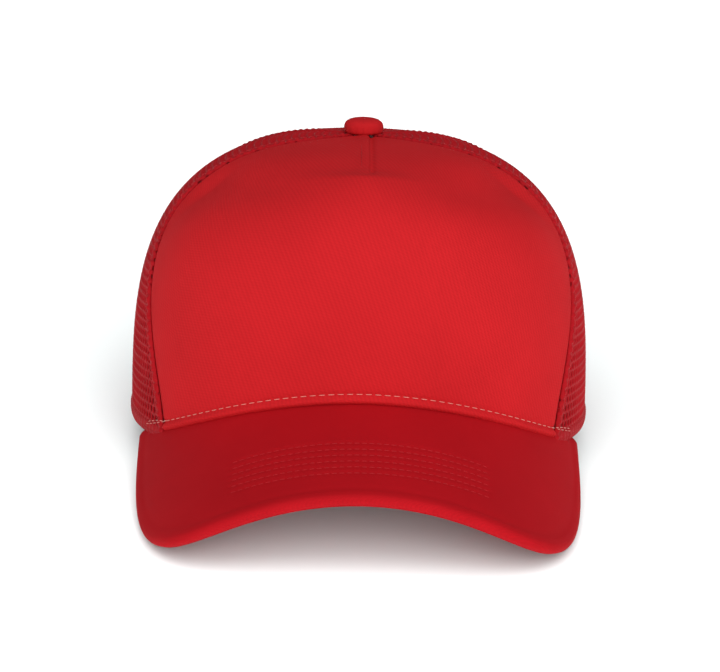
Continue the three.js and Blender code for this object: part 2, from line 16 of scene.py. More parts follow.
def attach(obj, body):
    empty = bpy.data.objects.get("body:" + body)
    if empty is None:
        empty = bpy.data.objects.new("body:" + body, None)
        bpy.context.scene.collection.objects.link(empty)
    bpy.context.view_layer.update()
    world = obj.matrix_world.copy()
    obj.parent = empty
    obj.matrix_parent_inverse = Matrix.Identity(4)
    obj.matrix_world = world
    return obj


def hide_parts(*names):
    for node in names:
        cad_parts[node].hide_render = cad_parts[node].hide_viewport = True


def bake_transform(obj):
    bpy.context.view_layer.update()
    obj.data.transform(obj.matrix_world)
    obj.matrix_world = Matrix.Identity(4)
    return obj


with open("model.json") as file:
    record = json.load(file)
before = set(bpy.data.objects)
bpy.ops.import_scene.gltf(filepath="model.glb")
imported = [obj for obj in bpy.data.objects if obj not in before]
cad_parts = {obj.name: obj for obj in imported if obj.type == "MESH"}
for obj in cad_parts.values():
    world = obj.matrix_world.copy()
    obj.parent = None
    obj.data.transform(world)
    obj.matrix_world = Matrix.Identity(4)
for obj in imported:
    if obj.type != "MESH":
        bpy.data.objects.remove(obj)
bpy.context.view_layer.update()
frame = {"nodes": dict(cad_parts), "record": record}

MM = 0.001
DEG = math.pi / 180

# Crown, visor and closure, as in the CAD model, in millimetres.
HALF_WIDTH = 92.5
FRONT = 99.6
REAR = 97.0
HEIGHT = 115.0
PLAN_POWER = 2.16
FRONT_PROFILE = (0.314, 0.584)
SIDE_PROFILE = (0.597, 0.77)
REAR_PROFILE = (0.8, 0.8)
LEAN = 6.9
APEX_HOLE = 3.0
FRONT_SEAM = {"hem": 52.7, "apex": 45.7, "bulge": 23.9, "skew": 1.37}
SIDE_SEAM = {"hem": 121.0, "apex": 120.0, "bulge": 0.0, "skew": 1.0}
REAR_SEAM = {"hem": 180.0, "apex": 180.0, "bulge": 0.0, "skew": 1.0}
BEND_RADIUS = 107.2
PITCH = 17.3 * DEG
ROOT_HEIGHT = 26.0
VISOR_LENGTH = 66.4
VISOR_HALF = 103.8
SETBACK = 49.6
OUTLINE = (0.377, 0.743)
VISOR_THICKNESS = 4.6
VISOR_SWEEP = 75 * DEG
ARCH_HALF = 48.0
ARCH_STRAIGHT = 14.0
ARCH_HEIGHT = 56.0
STRAP_RADIUS = 115.0
STRAP_CENTRE = -26.7
STRAP_THICKNESS = 1.4
STRAP_BOTTOM = 1.0
STRAP_HEIGHT = 20.0
HINGE_X = 44.5
ROOT_X = 57.0
FREE_END_X = -21.0
SNAP_PITCH = 8.0
SNAP_COUNT = 7
BUTTON_RADIUS = 8.0
BUTTON_HEIGHT = 6.4
SWEATBAND_HEIGHT = 33.0
SWEATBAND_END = 141 * DEG

SIDES = (("left", 1), ("right", -1))

record = frame["record"]
opening = next(m for m in record["mounts"] if m["name"] == "head_opening")
UP = -np.array(opening["axis"])
SIDEWAYS = np.array([1.0, 0.0, 0.0])
CAP_AXES = np.column_stack([SIDEWAYS, np.cross(UP, SIDEWAYS), UP])
CAP_ORIGIN = np.array(opening["pos_m"])


def to_world(points):
    return np.asarray(points, float) @ CAP_AXES.T * MM + CAP_ORIGIN


def mix(a, b, share):
    return a + (b - a) * share


def ease(low, high, value):
    share = np.clip((value - low) / (high - low), 0, 1)
    return share * share * (3 - 2 * share)


def bump(value, middle, width):
    return np.exp(-(((value - middle) / width) ** 2))


def circle(sides):
    return np.linspace(0, 2 * math.pi, sides, endpoint=False)


def pair(first, second):
    return np.stack(np.broadcast_arrays(first, second), -1)


def run_along(path):
    """How far along a path each of its points lies."""
    return np.concatenate([[0], np.cumsum(np.linalg.norm(np.diff(path, axis=0), axis=1))])


def new_object(name, data):
    made = bpy.data.objects.new(name, data)
    bpy.context.scene.collection.objects.link(made)
    return made


# ---- crown surface


def plan_radius(azimuth):
    across = np.abs(np.sin(azimuth)) / HALF_WIDTH
    along = np.abs(np.cos(azimuth)) / np.where(np.cos(azimuth) > 0, FRONT, REAR)
    return (across**PLAN_POWER + along**PLAN_POWER) ** (-1 / PLAN_POWER)


def profile_at(azimuth):
    weight = np.cos(azimuth) ** 2
    ahead = np.cos(azimuth) > 0
    height = mix(SIDE_PROFILE[0], np.where(ahead, FRONT_PROFILE[0], REAR_PROFILE[0]), weight)
    radius = mix(SIDE_PROFILE[1], np.where(ahead, FRONT_PROFILE[1], REAR_PROFILE[1]), weight)
    return height, radius


def crown_point(azimuth, lift):
    height, radius = profile_at(azimuth)
    spread = np.clip(np.cos(lift), 0, 1) ** radius
    reach = plan_radius(azimuth) * spread
    frontness = np.where(np.cos(azimuth) > 0, np.cos(azimuth) ** 2, 0)
    lean = LEAN * frontness * np.sin(lift) * spread
    rise = HEIGHT * np.clip(np.sin(lift), 0, 1) ** height
    return np.stack([reach * np.sin(azimuth), -reach * np.cos(azimuth) + lean, rise], -1)


def crown_normal(azimuth, lift):
    step = 1e-3
    middle = np.clip(lift, 2 * step, math.pi / 2 - 2 * step)
    around = crown_point(azimuth + step, middle) - crown_point(azimuth - step, middle)
    upward = crown_point(azimuth, middle + step) - crown_point(azimuth, middle - step)
    normal = np.cross(around, upward)
    return normal / np.linalg.norm(normal, axis=-1, keepdims=True)


def lift_at_height(azimuth, height):
    return np.arcsin((np.clip(height, 0, HEIGHT) / HEIGHT) ** (1 / profile_at(azimuth)[0]))


def visor_root_height(azimuth, depth):
    height = np.zeros_like(azimuth)
    for _ in range(12):
        wall = crown_point(azimuth, lift_at_height(azimuth, height))
        drop = np.sqrt(np.clip((BEND_RADIUS - depth) ** 2 - wall[..., 0] ** 2, 0, None)) - BEND_RADIUS
        slope = math.tan(PITCH) * (FRONT + wall[..., 1])
        height = np.maximum(ROOT_HEIGHT + slope + drop / math.cos(PITCH), -20)
    return height


def wrap(azimuth):
    return (azimuth + math.pi) % (2 * math.pi) - math.pi


def hem_height(azimuth):
    front = np.abs(wrap(azimuth)) < VISOR_SWEEP
    return np.where(front, np.maximum(visor_root_height(azimuth, VISOR_THICKNESS), 0), 0)


def visor_joint(azimuth):
    """How far above the hem the visor's top meets the wall."""
    front = np.abs(wrap(azimuth)) < VISOR_SWEEP
    return np.where(front, np.maximum(visor_root_height(azimuth, 0) - hem_height(azimuth), 0), 0)


# The wall by azimuth and share: the lift at each, and each meridian's length.
CHART_COLUMNS = 721
CHART_ROWS = 301
chart_azimuths = np.linspace(-math.pi, math.pi, CHART_COLUMNS)


def make_chart():
    samples = 400
    low = lift_at_height(chart_azimuths, hem_height(chart_azimuths))
    high = np.arccos((APEX_HOLE / plan_radius(chart_azimuths)) ** (1 / profile_at(chart_azimuths)[1]))
    spacing = np.sin(np.linspace(0, math.pi / 2, samples)) ** 2
    lifts = mix(low[:, None], high[:, None], spacing[None, :])
    points = crown_point(chart_azimuths[:, None], lifts)
    steps = np.linalg.norm(np.diff(points, axis=1), axis=2)
    lengths = np.concatenate([np.zeros((CHART_COLUMNS, 1)), np.cumsum(steps, 1)], 1)
    shares = np.linspace(0, 1, CHART_ROWS)
    table = [np.interp(shares * run[-1], run, lift) for run, lift in zip(lengths, lifts)]
    return np.array(table), lengths[:, -1]


lift_chart, wall_lengths = make_chart()


def lift_at(azimuth, share):
    azimuth, share = np.broadcast_arrays(wrap(np.asarray(azimuth, float)), share)
    column = (azimuth + math.pi) / (2 * math.pi) * (CHART_COLUMNS - 1)
    row = np.clip(share, 0, 1) * (CHART_ROWS - 1)
    left = np.clip(column.astype(int), 0, CHART_COLUMNS - 2)
    below = np.clip(row.astype(int), 0, CHART_ROWS - 2)
    across, up = column - left, row - below
    near = mix(lift_chart[left, below], lift_chart[left, below + 1], up)
    far = mix(lift_chart[left + 1, below], lift_chart[left + 1, below + 1], up)
    return mix(near, far, across)


def wall_length(azimuth):
    return np.interp(wrap(np.asarray(azimuth, float)), chart_azimuths, wall_lengths)


def wall(azimuth, share, out=0.0):
    """The point of the wall moved out along its normal, in millimetres."""
    lift = lift_at(azimuth, share)
    return crown_point(azimuth, lift) + crown_normal(azimuth, lift) * np.asarray(out)[..., None]


def ring_radius(azimuth, share):
    point = crown_point(azimuth, lift_at(azimuth, share))
    return np.hypot(point[..., 0], point[..., 1])


def seam_azimuth(seam, share):
    share = np.clip(share, 0, 1)
    curve = seam["bulge"] * np.sin(math.pi * share ** seam["skew"])
    return (mix(seam["hem"], seam["apex"], share) + curve) * DEG


def rear_wall(x, z, out=0.0):
    """The point of the rear wall at a given x and height."""
    low = np.full_like(x, 90 * DEG)
    high = np.full_like(x, 180 * DEG)
    for _ in range(30):
        middle = (low + high) / 2
        wide = crown_point(middle, lift_at_height(middle, z))[..., 0] > np.abs(x)
        low = np.where(wide, middle, low)
        high = np.where(wide, high, middle)
    azimuth = np.where(x < 0, 2 * math.pi - middle, middle)
    lift = lift_at_height(azimuth, z)
    return crown_point(azimuth, lift) + crown_normal(azimuth, lift) * np.asarray(out)[..., None]


# ---- visor surface


def visor_point(bend, reach, depth=0.0):
    radius = BEND_RADIUS - depth
    drop = radius * np.cos(bend) - BEND_RADIUS
    x = radius * np.sin(bend)
    y = -FRONT - reach * math.cos(PITCH) - drop * math.sin(PITCH)
    z = ROOT_HEIGHT - reach * math.sin(PITCH) + drop * math.cos(PITCH)
    return np.stack(np.broadcast_arrays(x, y, z), -1)


def visor_outline(angle, inset=0.0):
    across = np.sign(np.cos(angle)) * np.abs(np.cos(angle)) ** OUTLINE[0]
    along = np.abs(np.sin(angle)) ** OUTLINE[1]
    bend = -across * (VISOR_HALF - inset) / BEND_RADIUS
    return bend, -SETBACK + along * (VISOR_LENGTH - inset + SETBACK)


def visor_angles(count):
    """Outline angles, evenly spaced along the edge between the two points where it meets the wall."""
    angles = np.linspace(0.001, math.pi / 2, 4000)
    point = visor_point(*visor_outline(angles))
    azimuth = np.arctan2(point[:, 0], -point[:, 1])
    outside = np.hypot(point[:, 0], point[:, 1]) > plan_radius(azimuth)
    first = angles[np.argmax(outside)]
    angles = np.linspace(first, math.pi - first, 4000)
    point = visor_point(*visor_outline(angles))
    run = run_along(point)
    return np.interp(np.linspace(0, run[-1], count), run, angles)


# ---- meshes


def add_mesh(name, points, faces, material, uv=None, body="crown"):
    """A smooth-shaded piece; uv places its points on the cloth, in millimetres."""
    mesh = bpy.data.meshes.new(name)
    mesh.from_pydata(to_world(points).tolist(), [], faces)
    if uv is not None:
        layer = mesh.uv_layers.new(name="weave")
        corners = np.zeros(len(mesh.loops), np.int32)
        mesh.loops.foreach_get("vertex_index", corners)
        layer.data.foreach_set("uv", np.asarray(uv, np.float32)[corners].ravel())
    mesh.materials.append(material)
    mesh.polygons.foreach_set("use_smooth", [True] * len(mesh.polygons))
    mesh.validate()
    piece = new_object(name, mesh)
    if body:
        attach(piece, body)
    return piece


def grid_faces(rows, columns, offset=0, flip=False, wrap_rows=False, wrap_columns=False):
    """Four-sided faces between the neighbours in a grid of points."""
    down = np.arange(rows if wrap_rows else rows - 1)[:, None]
    along = np.arange(columns if wrap_columns else columns - 1)[None, :]
    below, right = (down + 1) % rows, (along + 1) % columns
    quads = [down * columns + along, down * columns + right, below * columns + right]
    quads = np.stack(np.broadcast_arrays(*quads, below * columns + along), -1).reshape(-1, 4) + offset
    return (quads[:, ::-1] if flip else quads).tolist()


def shell(name, outer, inner, material, uv):
    """A closed piece between two grids of points, shaped (rows, columns, 3)."""
    rows, columns = outer.shape[:2]
    count = rows * columns
    faces = grid_faces(rows, columns) + grid_faces(rows, columns, count, flip=True)
    rim = list(range(columns))
    rim += [row * columns + columns - 1 for row in range(1, rows)]
    rim += [(rows - 1) * columns + column for column in range(columns - 2, -1, -1)]
    rim += [row * columns for row in range(rows - 2, 0, -1)]
    for here, after in zip(rim, rim[1:] + rim[:1]):
        faces.append([after, here, here + count, after + count])
    points = np.concatenate([outer.reshape(-1, 3), inner.reshape(-1, 3)])
    flat = np.asarray(uv, float).reshape(-1, 2)
    return add_mesh(name, points, faces, material, np.concatenate([flat, flat]))


def tube(name, rings, material, uv=None, body="crown", closed=False):
    """A closed tube through rings of points, shaped (stations, sides, 3)."""
    stations, sides = rings.shape[:2]
    faces = grid_faces(stations, sides, wrap_columns=True, wrap_rows=closed)
    if not closed:
        faces.append(list(range(sides))[::-1])
        faces.append(list(range((stations - 1) * sides, stations * sides)))
    flat = None if uv is None else np.asarray(uv, float).reshape(-1, 2)
    return add_mesh(name, rings.reshape(-1, 3), faces, material, flat, body)


def lathe(name, profile, material, sides=72, pleat=None):
    """A solid turned about the crown's axis from (radius, height) points, closed on itself."""
    angles = circle(sides)
    profile = np.array(profile, float)
    radius, height = profile[:, 0][:, None], profile[:, 1][:, None] + 0 * angles[None, :]
    if pleat is not None:
        radius = radius * (1 + pleat(angles[None, :], profile[:, 1][:, None]))
    x, y = radius * np.sin(angles), -radius * np.cos(angles)
    rings = np.stack([x, y, HEIGHT + height], -1)
    uv = pair(angles[None, :] * BUTTON_RADIUS, run_along(profile)[:, None])
    return tube(name, rings, material, uv, closed=True)


def stitches(name, rows, material, length, pitch, width, sink=0.08):
    """One thread piece for many rows; a row is (points, outward normals), a stitch an arched dash."""
    sides, stations = 6, 7
    turn = circle(sides)[None, :, None]
    along = np.linspace(-1, 1, stations)
    thick = np.sqrt(np.clip(1 - along**4, 0.02, 1)) * width / 2
    arch = (1 - along**2) * 0.5 * width - sink
    points, faces, start = [], [], 0
    for path, out in rows:
        run = run_along(path)
        for middle in np.arange(pitch / 2, run[-1] - length / 2, pitch):
            where = middle + along * length / 2
            spine = np.stack([np.interp(where, run, path[:, k]) for k in range(3)], -1)
            up = np.stack([np.interp(where, run, out[:, k]) for k in range(3)], -1)
            up /= np.linalg.norm(up, axis=1, keepdims=True)
            forward = np.gradient(spine, axis=0)
            side = np.cross(up, forward)
            side /= np.linalg.norm(side, axis=1, keepdims=True)
            spine = spine + up * arch[:, None]
            ring = np.cos(turn) * side[:, None, :] + np.sin(turn) * up[:, None, :]
            points.append((spine[:, None, :] + ring * thick[:, None, None]).reshape(-1, 3))
            faces += grid_faces(stations, sides, start, wrap_columns=True)
            faces.append([start + k for k in range(sides)][::-1])
            faces.append([start + (stations - 1) * sides + k for k in range(sides)])
            start += stations * sides
    return add_mesh(name, np.concatenate(points), faces, material)


def wall_row(azimuths, shares, out):
    """A stitch row on the crown wall, which faces inwards where it lies on the wall's inner side."""
    azimuths, shares = np.broadcast_arrays(np.asarray(azimuths, float), shares)
    lift = lift_at(azimuths, shares)
    normal = crown_normal(azimuths, lift)
    sign = 1 if out > -0.6 else -1
    return crown_point(azimuths, lift) + normal * out, normal * sign


# ---- materials


class Finish:
    """A material built from a few kinds of node, read from the first one made to the last."""

    def __init__(self, name, roughness, specular=0.2, metallic=0.0, sheen=0.0):
        self.material = bpy.data.materials.new(name)
        self.material.use_nodes = True
        self.nodes = self.material.node_tree.nodes
        self.links = self.material.node_tree.links
        self.shader = self.nodes["Principled BSDF"]
        settings = {
            "Roughness": roughness,
            "Specular IOR Level": specular,
            "Metallic": metallic,
            "Sheen Weight": sheen,
            "Sheen Roughness": 0.4,
            "Sheen Tint": (1.0, 0.35, 0.35, 1),
        }
        for name, value in settings.items():
            self.put(self.shader.inputs[name], value)

    def put(self, socket, value):
        if hasattr(value, "links"):
            self.links.new(value, socket)
        else:
            socket.default_value = value

    def math(self, operation, *values):
        node = self.nodes.new("ShaderNodeMath")
        node.operation = operation
        for socket, value in zip(node.inputs, values):
            self.put(socket, value)
        return node.outputs[0]

    def total(self, *terms):
        """The sum of (value, weight) terms."""
        result = 0.0
        for value, weight in terms:
            result = self.math("MULTIPLY_ADD", value, weight, result)
        return result

    def noise(self, scale, detail=3.0):
        node = self.nodes.new("ShaderNodeTexNoise")
        node.inputs["Scale"].default_value = scale
        node.inputs["Detail"].default_value = detail
        place = self.nodes.new("ShaderNodeTexCoord").outputs["Object"]
        self.links.new(place, node.inputs["Vector"])
        return node.outputs["Fac"]

    def weave(self):
        """The cloth's own two directions, in millimetres."""
        node = self.nodes.new("ShaderNodeUVMap")
        node.uv_map = "weave"
        split = self.nodes.new("ShaderNodeSeparateXYZ")
        self.links.new(node.outputs[0], split.inputs[0])
        return split.outputs[0], split.outputs[1]

    def turned(self, across, up, degrees):
        cos, sin = math.cos(degrees * DEG), math.sin(degrees * DEG)
        return self.total((across, cos), (up, sin)), self.total((up, cos), (across, -sin))

    def wave(self, value, pitch):
        """A wave from 0 to 1, one crest for each pitch."""
        turn = self.math("MULTIPLY", value, 2 * math.pi / pitch)
        return self.math("MULTIPLY_ADD", self.math("SINE", turn), 0.5, 0.5)

    def coloured(self, factor, low, dark, high, light):
        """Dark where the factor is low or less, and light where it is high or more."""
        ramp = self.nodes.new("ShaderNodeValToRGB")
        for element, position, colour in zip(ramp.color_ramp.elements, (low, high), (dark, light)):
            element.position = position
            element.color = (*colour, 1)
        self.links.new(factor, ramp.inputs[0])
        self.links.new(ramp.outputs[0], self.shader.inputs["Base Color"])

    def dye_and_shade(self, factor, colour, low, dark, high, light):
        """One colour, times dark where the factor is low and times light where it is high. Callers pass
        random dye tone, and for the cloths, thread and padding also painted shade from their relief.
        """
        self.coloured(factor, low, [c * dark for c in colour], high, [c * light for c in colour])

    def relief(self, height, depth_mm):
        node = self.nodes.new("ShaderNodeBump")
        node.inputs["Strength"].default_value = 1.0
        node.inputs["Distance"].default_value = depth_mm * MM
        self.put(node.inputs["Height"], height)
        self.links.new(node.outputs[0], self.shader.inputs["Normal"])

    def rough(self, factor, low, high):
        self.put(self.shader.inputs["Roughness"], self.math("MULTIPLY_ADD", factor, high - low, low))


# The twill's red; its green and blue are raised a little as painted sheen from the frontal light.
TWILL_RED_AND_SHEEN = (0.60, 0.0155, 0.020)
# The same twill red, made darker as painted shade for the visor, and with less of the front's painted sheen.
VISOR_RED_PAINTED_SHADE = (0.475, 0.0065, 0.012)
MESH_RED = (0.46, 0.006, 0.012)
TAPE_RED = (0.46, 0.009, 0.014)
STRAP_RED = (0.42, 0.006, 0.010)
THREAD_RED = (0.54, 0.013, 0.020)
PALE_THREAD = (0.80, 0.34, 0.29)


def twill(name, colour, angle=20.0, pitch=1.5, depth=0.05):
    """Diagonal ribs broken into yarn floats, over a slow unevenness of dye and fine fibre noise; the colour
    is lighter on the relief's crests and darker in its hollows, which is painted shade.
    """
    cloth = Finish(name, 0.8, specular=0.06)
    across, up = cloth.weave()
    ribs, along = cloth.turned(across, up, angle)
    rib = cloth.wave(ribs, pitch)
    floats = cloth.wave(cloth.total((along, 1.0), (ribs, 0.8)), pitch * 0.9)
    fibre = cloth.noise(2600.0, 2.0)
    height = cloth.total((rib, 0.85), (floats, 0.45), (fibre, 0.5))
    cloth.relief(height, depth)
    # Tone: painted shade from the relief height, darker in its hollows, plus a slow random unevenness of
    # dye.
    tone = cloth.total((height, 0.22), (cloth.noise(30.0, 4.0), 0.5))
    cloth.dye_and_shade(tone, colour, 0.2, 0.86, 0.75, 1.1)
    cloth.rough(fibre, 0.72, 0.9)
    return cloth.material


def knit(name, colour):
    """The netting's yarn: fine filaments twisted along each strand, coloured darker in the filaments'
    grooves as painted shade, over random dye noise.
    """
    yarn = Finish(name, 0.7, specular=0.12, sheen=0.04)
    across, up = yarn.weave()
    filaments = yarn.wave(yarn.total((up, 1.0), (across, 0.45)), 0.34)
    yarn.relief(yarn.total((yarn.noise(1800.0, 2.0), 0.6), (filaments, 1.0)), 0.05)
    # Tone: painted shade from the filaments' relief plus random dye noise.
    tone = yarn.total((filaments, 0.3), (yarn.noise(45.0), 0.7))
    yarn.dye_and_shade(tone, colour, 0.25, 0.82, 0.8, 1.15)
    return yarn.material


def herringbone(name, colour):
    """Woven tape: short diagonals that change direction every 3 mm across it, coloured darker in the
    diagonals' hollows as painted shade, over random dye noise.
    """
    tape = Finish(name, 0.75, specular=0.15, sheen=0.08)
    across, up = tape.weave()
    fold = tape.math("PINGPONG", across, 3.0)
    rib = tape.wave(tape.math("ADD", fold, up), 0.8)
    tape.relief(tape.total((tape.noise(2200.0, 2.0), 0.5), (rib, 1.0)), 0.06)
    # Tone: painted shade from the rib relief plus random dye noise.
    tone = tape.total((rib, 0.3), (tape.noise(40.0), 0.6))
    tape.dye_and_shade(tone, colour, 0.2, 0.8, 0.8, 1.12)
    return tape.material


def scrim(name):
    """Stiff open-weave buckram in plain off-white yarn, coloured grey between the yarns as painted shade."""
    cloth = Finish(name, 0.85, specular=0.2)
    across, up = cloth.weave()
    warp = cloth.wave(across, 0.9)
    weft = cloth.wave(up, 0.9)
    height = cloth.math("MAXIMUM", cloth.math("POWER", warp, 2.0), cloth.math("POWER", weft, 2.0))
    cloth.relief(height, 0.12)
    # Tone: painted shade, dark grey where the weave's relief is low, plus random noise.
    tone = cloth.total((height, 0.6), (cloth.noise(50.0), 0.4))
    cloth.coloured(tone, 0.1, (0.42, 0.40, 0.37), 0.7, (0.78, 0.76, 0.72))
    return cloth.material


def moulded(name, colour):
    """Moulded plastic: a fine grain, slightly cloudy, its roughness varying with the cloudiness."""
    plastic = Finish(name, 0.38, specular=0.45)
    grain = plastic.noise(1400.0, 2.0)
    plastic.relief(grain, 0.012)
    cloud = plastic.noise(35.0, 4.0)
    plastic.dye_and_shade(cloud, colour, 0.3, 0.9, 0.7, 1.08)
    plastic.rough(cloud, 0.3, 0.5)
    return plastic.material


def spun(name, colour):
    """Thread: a tight twist, coloured lighter on its relief's crests and darker in its hollows as painted
    shade.
    """
    thread = Finish(name, 0.55, specular=0.3)
    ply = thread.noise(2400.0, 1.0)
    thread.relief(ply, 0.04)
    # The same noise as the relief darkens the colour in its hollows: painted shade.
    thread.dye_and_shade(ply, colour, 0.3, 0.75, 0.7, 1.1)
    return thread.material


def plated(name):
    """Stamped, plated steel with fine turning marks and a few dull spots."""
    metal = Finish(name, 0.35, specular=0.5, metallic=1.0)
    marks = metal.noise(900.0, 2.0)
    metal.relief(marks, 0.01)
    dull = metal.noise(160.0, 4.0)
    metal.coloured(dull, 0.3, (0.42, 0.41, 0.40), 0.7, (0.68, 0.67, 0.66))
    metal.rough(dull, 0.25, 0.5)
    return metal.material


def fleece(name):
    """Soft non-woven padding in the same red as the band around it, coloured darker where its fibre relief
    is low as painted shade.
    """
    felt = Finish(name, 0.95, specular=0.1, sheen=0.2)
    fibre = felt.noise(900.0, 6.0)
    felt.relief(fibre, 0.2)
    # The fibre noise darkens the colour where the relief is low: painted shade.
    felt.dye_and_shade(fibre, TAPE_RED, 0.3, 0.8, 0.7, 1.15)
    return felt.material


red_twill = twill("red_twill", TWILL_RED_AND_SHEEN)
visor_twill = twill("visor_twill", VISOR_RED_PAINTED_SHADE, angle=66.0, pitch=0.7, depth=0.02)
band_twill = twill("band_twill", TAPE_RED, angle=45.0, pitch=0.7, depth=0.04)
red_button = twill("red_button", TWILL_RED_AND_SHEEN, angle=60.0, pitch=0.7, depth=0.03)
red_net = knit("red_net", MESH_RED)
red_tape = herringbone("red_tape", TAPE_RED)
white_scrim = scrim("white_scrim")
red_plastic = moulded("red_plastic", STRAP_RED)
white_board = moulded("white_board", (0.75, 0.75, 0.73))
red_thread = spun("red_thread", THREAD_RED)
pale_thread = spun("pale_thread", PALE_THREAD)
steel = plated("plated_steel")
red_fleece = fleece("red_fleece")


# ---- front panel

TWILL_THICKNESS = 1.0
BUCKRAM_DEPTH = -1.45
BUCKRAM_THICKNESS = 0.7
DART_LENGTH = 65.0
DART_EDGE = 1.9
TENT_PEAK = DART_LENGTH + 4.0
TENT_HEIGHT = 4.0
TENT_WIDTH = 26.0
TENT_ABOVE = 7.0
TENT_BELOW = 36.0
EDGE_FADE = 14.0
FRONT_MARGIN = 0.35
BACKING_MARGIN = 1.2
SHOULDER_DROP = 3.6
ROLL_HEIGHT = 4.0


def even_and_fine(count):
    """Values from -1 to 1, closer together in the middle and at both ends."""
    pull = 0.55
    even = np.linspace(-1, 1, count)
    return even - pull * np.sin(2 * math.pi * even) / (2 * math.pi)


def hem_and_wall(rows_low, rows_high):
    """Shares from 0 to 1 with finer rows near the hem."""
    turn = 16.0 / 150.0
    low = np.linspace(0, turn, rows_low, endpoint=False)
    return np.concatenate([low, np.linspace(turn, 1, rows_high)])


def front_form(azimuth, share, from_seam):
    """The slow shape of the front: a tent under the dart's tip, and softer shoulders beside it."""
    length = wall_length(azimuth)
    above_hem = share * length
    below_apex = (1 - share) * length
    aside = azimuth * ring_radius(azimuth, share)
    slope = np.where(below_apex < TENT_PEAK, TENT_ABOVE, TENT_BELOW)
    spread = np.hypot(aside / TENT_WIDTH, (below_apex - TENT_PEAK) / slope)
    tent = TENT_HEIGHT * np.exp(-np.sqrt(spread**2 + 0.006))
    shoulder = -SHOULDER_DROP * bump(below_apex, TENT_PEAK, 15.0) * (1 - bump(aside, 0, TENT_WIDTH))
    valley = -0.9 * np.exp(-np.abs(aside) / 12.0) * ease(15.0, 40.0, below_apex)
    valley = valley * ease(DART_LENGTH + 2.0, DART_LENGTH - 8.0, below_apex)
    drift = 0.22 * np.sin(aside / 17.0 + 0.6) * np.sin(above_hem / 29.0 + 1.1)
    drift = drift + 0.14 * np.sin(aside / 8.5 - 1.0) * np.cos(above_hem / 14.0)
    above_visor = above_hem - visor_joint(azimuth)
    form = tent + shoulder + valley + drift
    return form * ease(0, EDGE_FADE, above_visor) * ease(0, EDGE_FADE, from_seam)


def front_relief(azimuth, share, from_seam):
    """The sewn detail of the front: the roll over the visor, the seam edges and the dart."""
    length = wall_length(azimuth)
    below_apex = (1 - share) * length
    aside = azimuth * ring_radius(azimuth, share)
    above_visor = share * length - visor_joint(azimuth)
    roll = 1.2 * bump(above_visor, 0.45 * ROLL_HEIGHT, 1.4) - 0.6 * bump(above_visor, ROLL_HEIGHT, 0.9)
    tuck = -1.5 * ease(0.9, -0.6, above_visor)
    crease = -1.1 * bump(from_seam, 0, 1.3)
    on_dart = ease(DART_LENGTH + 1.0, DART_LENGTH - 5.0, below_apex)
    ridge = 0.6 * ease(-4.0, 0.4, aside) * ease(DART_EDGE + 0.35, DART_EDGE, aside)
    trench = -0.85 * bump(aside, DART_EDGE + 1.0, 1.2)
    groove = -0.06 * bump(aside, -0.9, 0.5)
    return roll + tuck + crease + on_dart * (ridge + trench + groove)


def front_layer(name, node, slot, material, columns, shares, margin, thickness, surface):
    """One layer of the front, up to a margin short of its seams; surface gives its own relief."""
    seam = seam_azimuth(FRONT_SEAM, shares)
    edge = (seam - margin / ring_radius(seam, shares))[:, None]
    share = shares[:, None] + 0 * columns[None, :]
    azimuth = columns[None, :] * edge
    ring = ring_radius(azimuth, share)
    from_seam = (edge - np.abs(azimuth)) * ring
    out = front_form(azimuth, share, from_seam) + surface(azimuth, share, from_seam)
    outer = wall(azimuth, share, out)
    inner = wall(azimuth, share, out - thickness)
    uv = pair(azimuth * ring, share * wall_length(azimuth))
    piece = shell(name, outer, inner, material, uv)
    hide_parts(node)


def front_panel():
    grid = even_and_fine(231), hem_and_wall(34, 150)
    names = "front_panel_twill", "front_panel", "twill"
    front_layer(*names, red_twill, *grid, FRONT_MARGIN, TWILL_THICKNESS, front_relief)


def backing():
    def ripple(azimuth, share, _):
        return BUCKRAM_DEPTH + 0.12 * np.sin(azimuth * 40) * np.sin(share * 60)

    grid = np.linspace(-1, 1, 121), np.linspace(0.004, 0.995, 100)
    names = "front_buckram", "front_panel_backing", "buckram"
    front_layer(*names, white_scrim, *grid, BACKING_MARGIN, BUCKRAM_THICKNESS, ripple)


# ---- netting

CELL_WIDTH = 2.9
CELL_HEIGHT = 3.1
HOLE = (0.88, 1.08)
NET_DEPTH = -0.5
KNOT_HALF = 0.52
STRAND_HALF = 0.42
SEAM_TOP = 0.985
NET_HALF_WIDTH = 75
ARCH_MARGIN = 3.0


def arch_height(x, grow):
    """The height of the arch's outline over x, or -1 beyond its sides."""
    half = ARCH_HALF + grow
    top = ARCH_HEIGHT - ARCH_STRAIGHT + grow
    inside = np.abs(x) < half
    return np.where(inside, ARCH_STRAIGHT + top * np.sqrt(np.clip(1 - (x / half) ** 2, 0, 1)), -1)


def cell_rings():
    """Three rings of a six-sided cell with (x, y, thickness): its border, its strand and its hole."""
    corners = [(0, 2 / 3), (0.5, 1 / 3), (0.5, -1 / 3), (0, -2 / 3), (-0.5, -1 / 3), (-0.5, 1 / 3)]
    border = []
    for here, after in zip(corners, corners[1:] + corners[:1]):
        border.append((*here, KNOT_HALF))
        border.append(((here[0] + after[0]) / 2, (here[1] + after[1]) / 2, STRAND_HALF))
    border = np.array(border) * [CELL_WIDTH, CELL_HEIGHT, 1]
    angle = np.arctan2(border[:, 1], border[:, 0])
    hole = np.stack([HOLE[0] * np.cos(angle), HOLE[1] * np.sin(angle), 0 * angle], -1)
    strand = mix(border, hole, 0.55)
    strand[:, 2] = border[:, 2] * 0.82
    return border, strand, hole


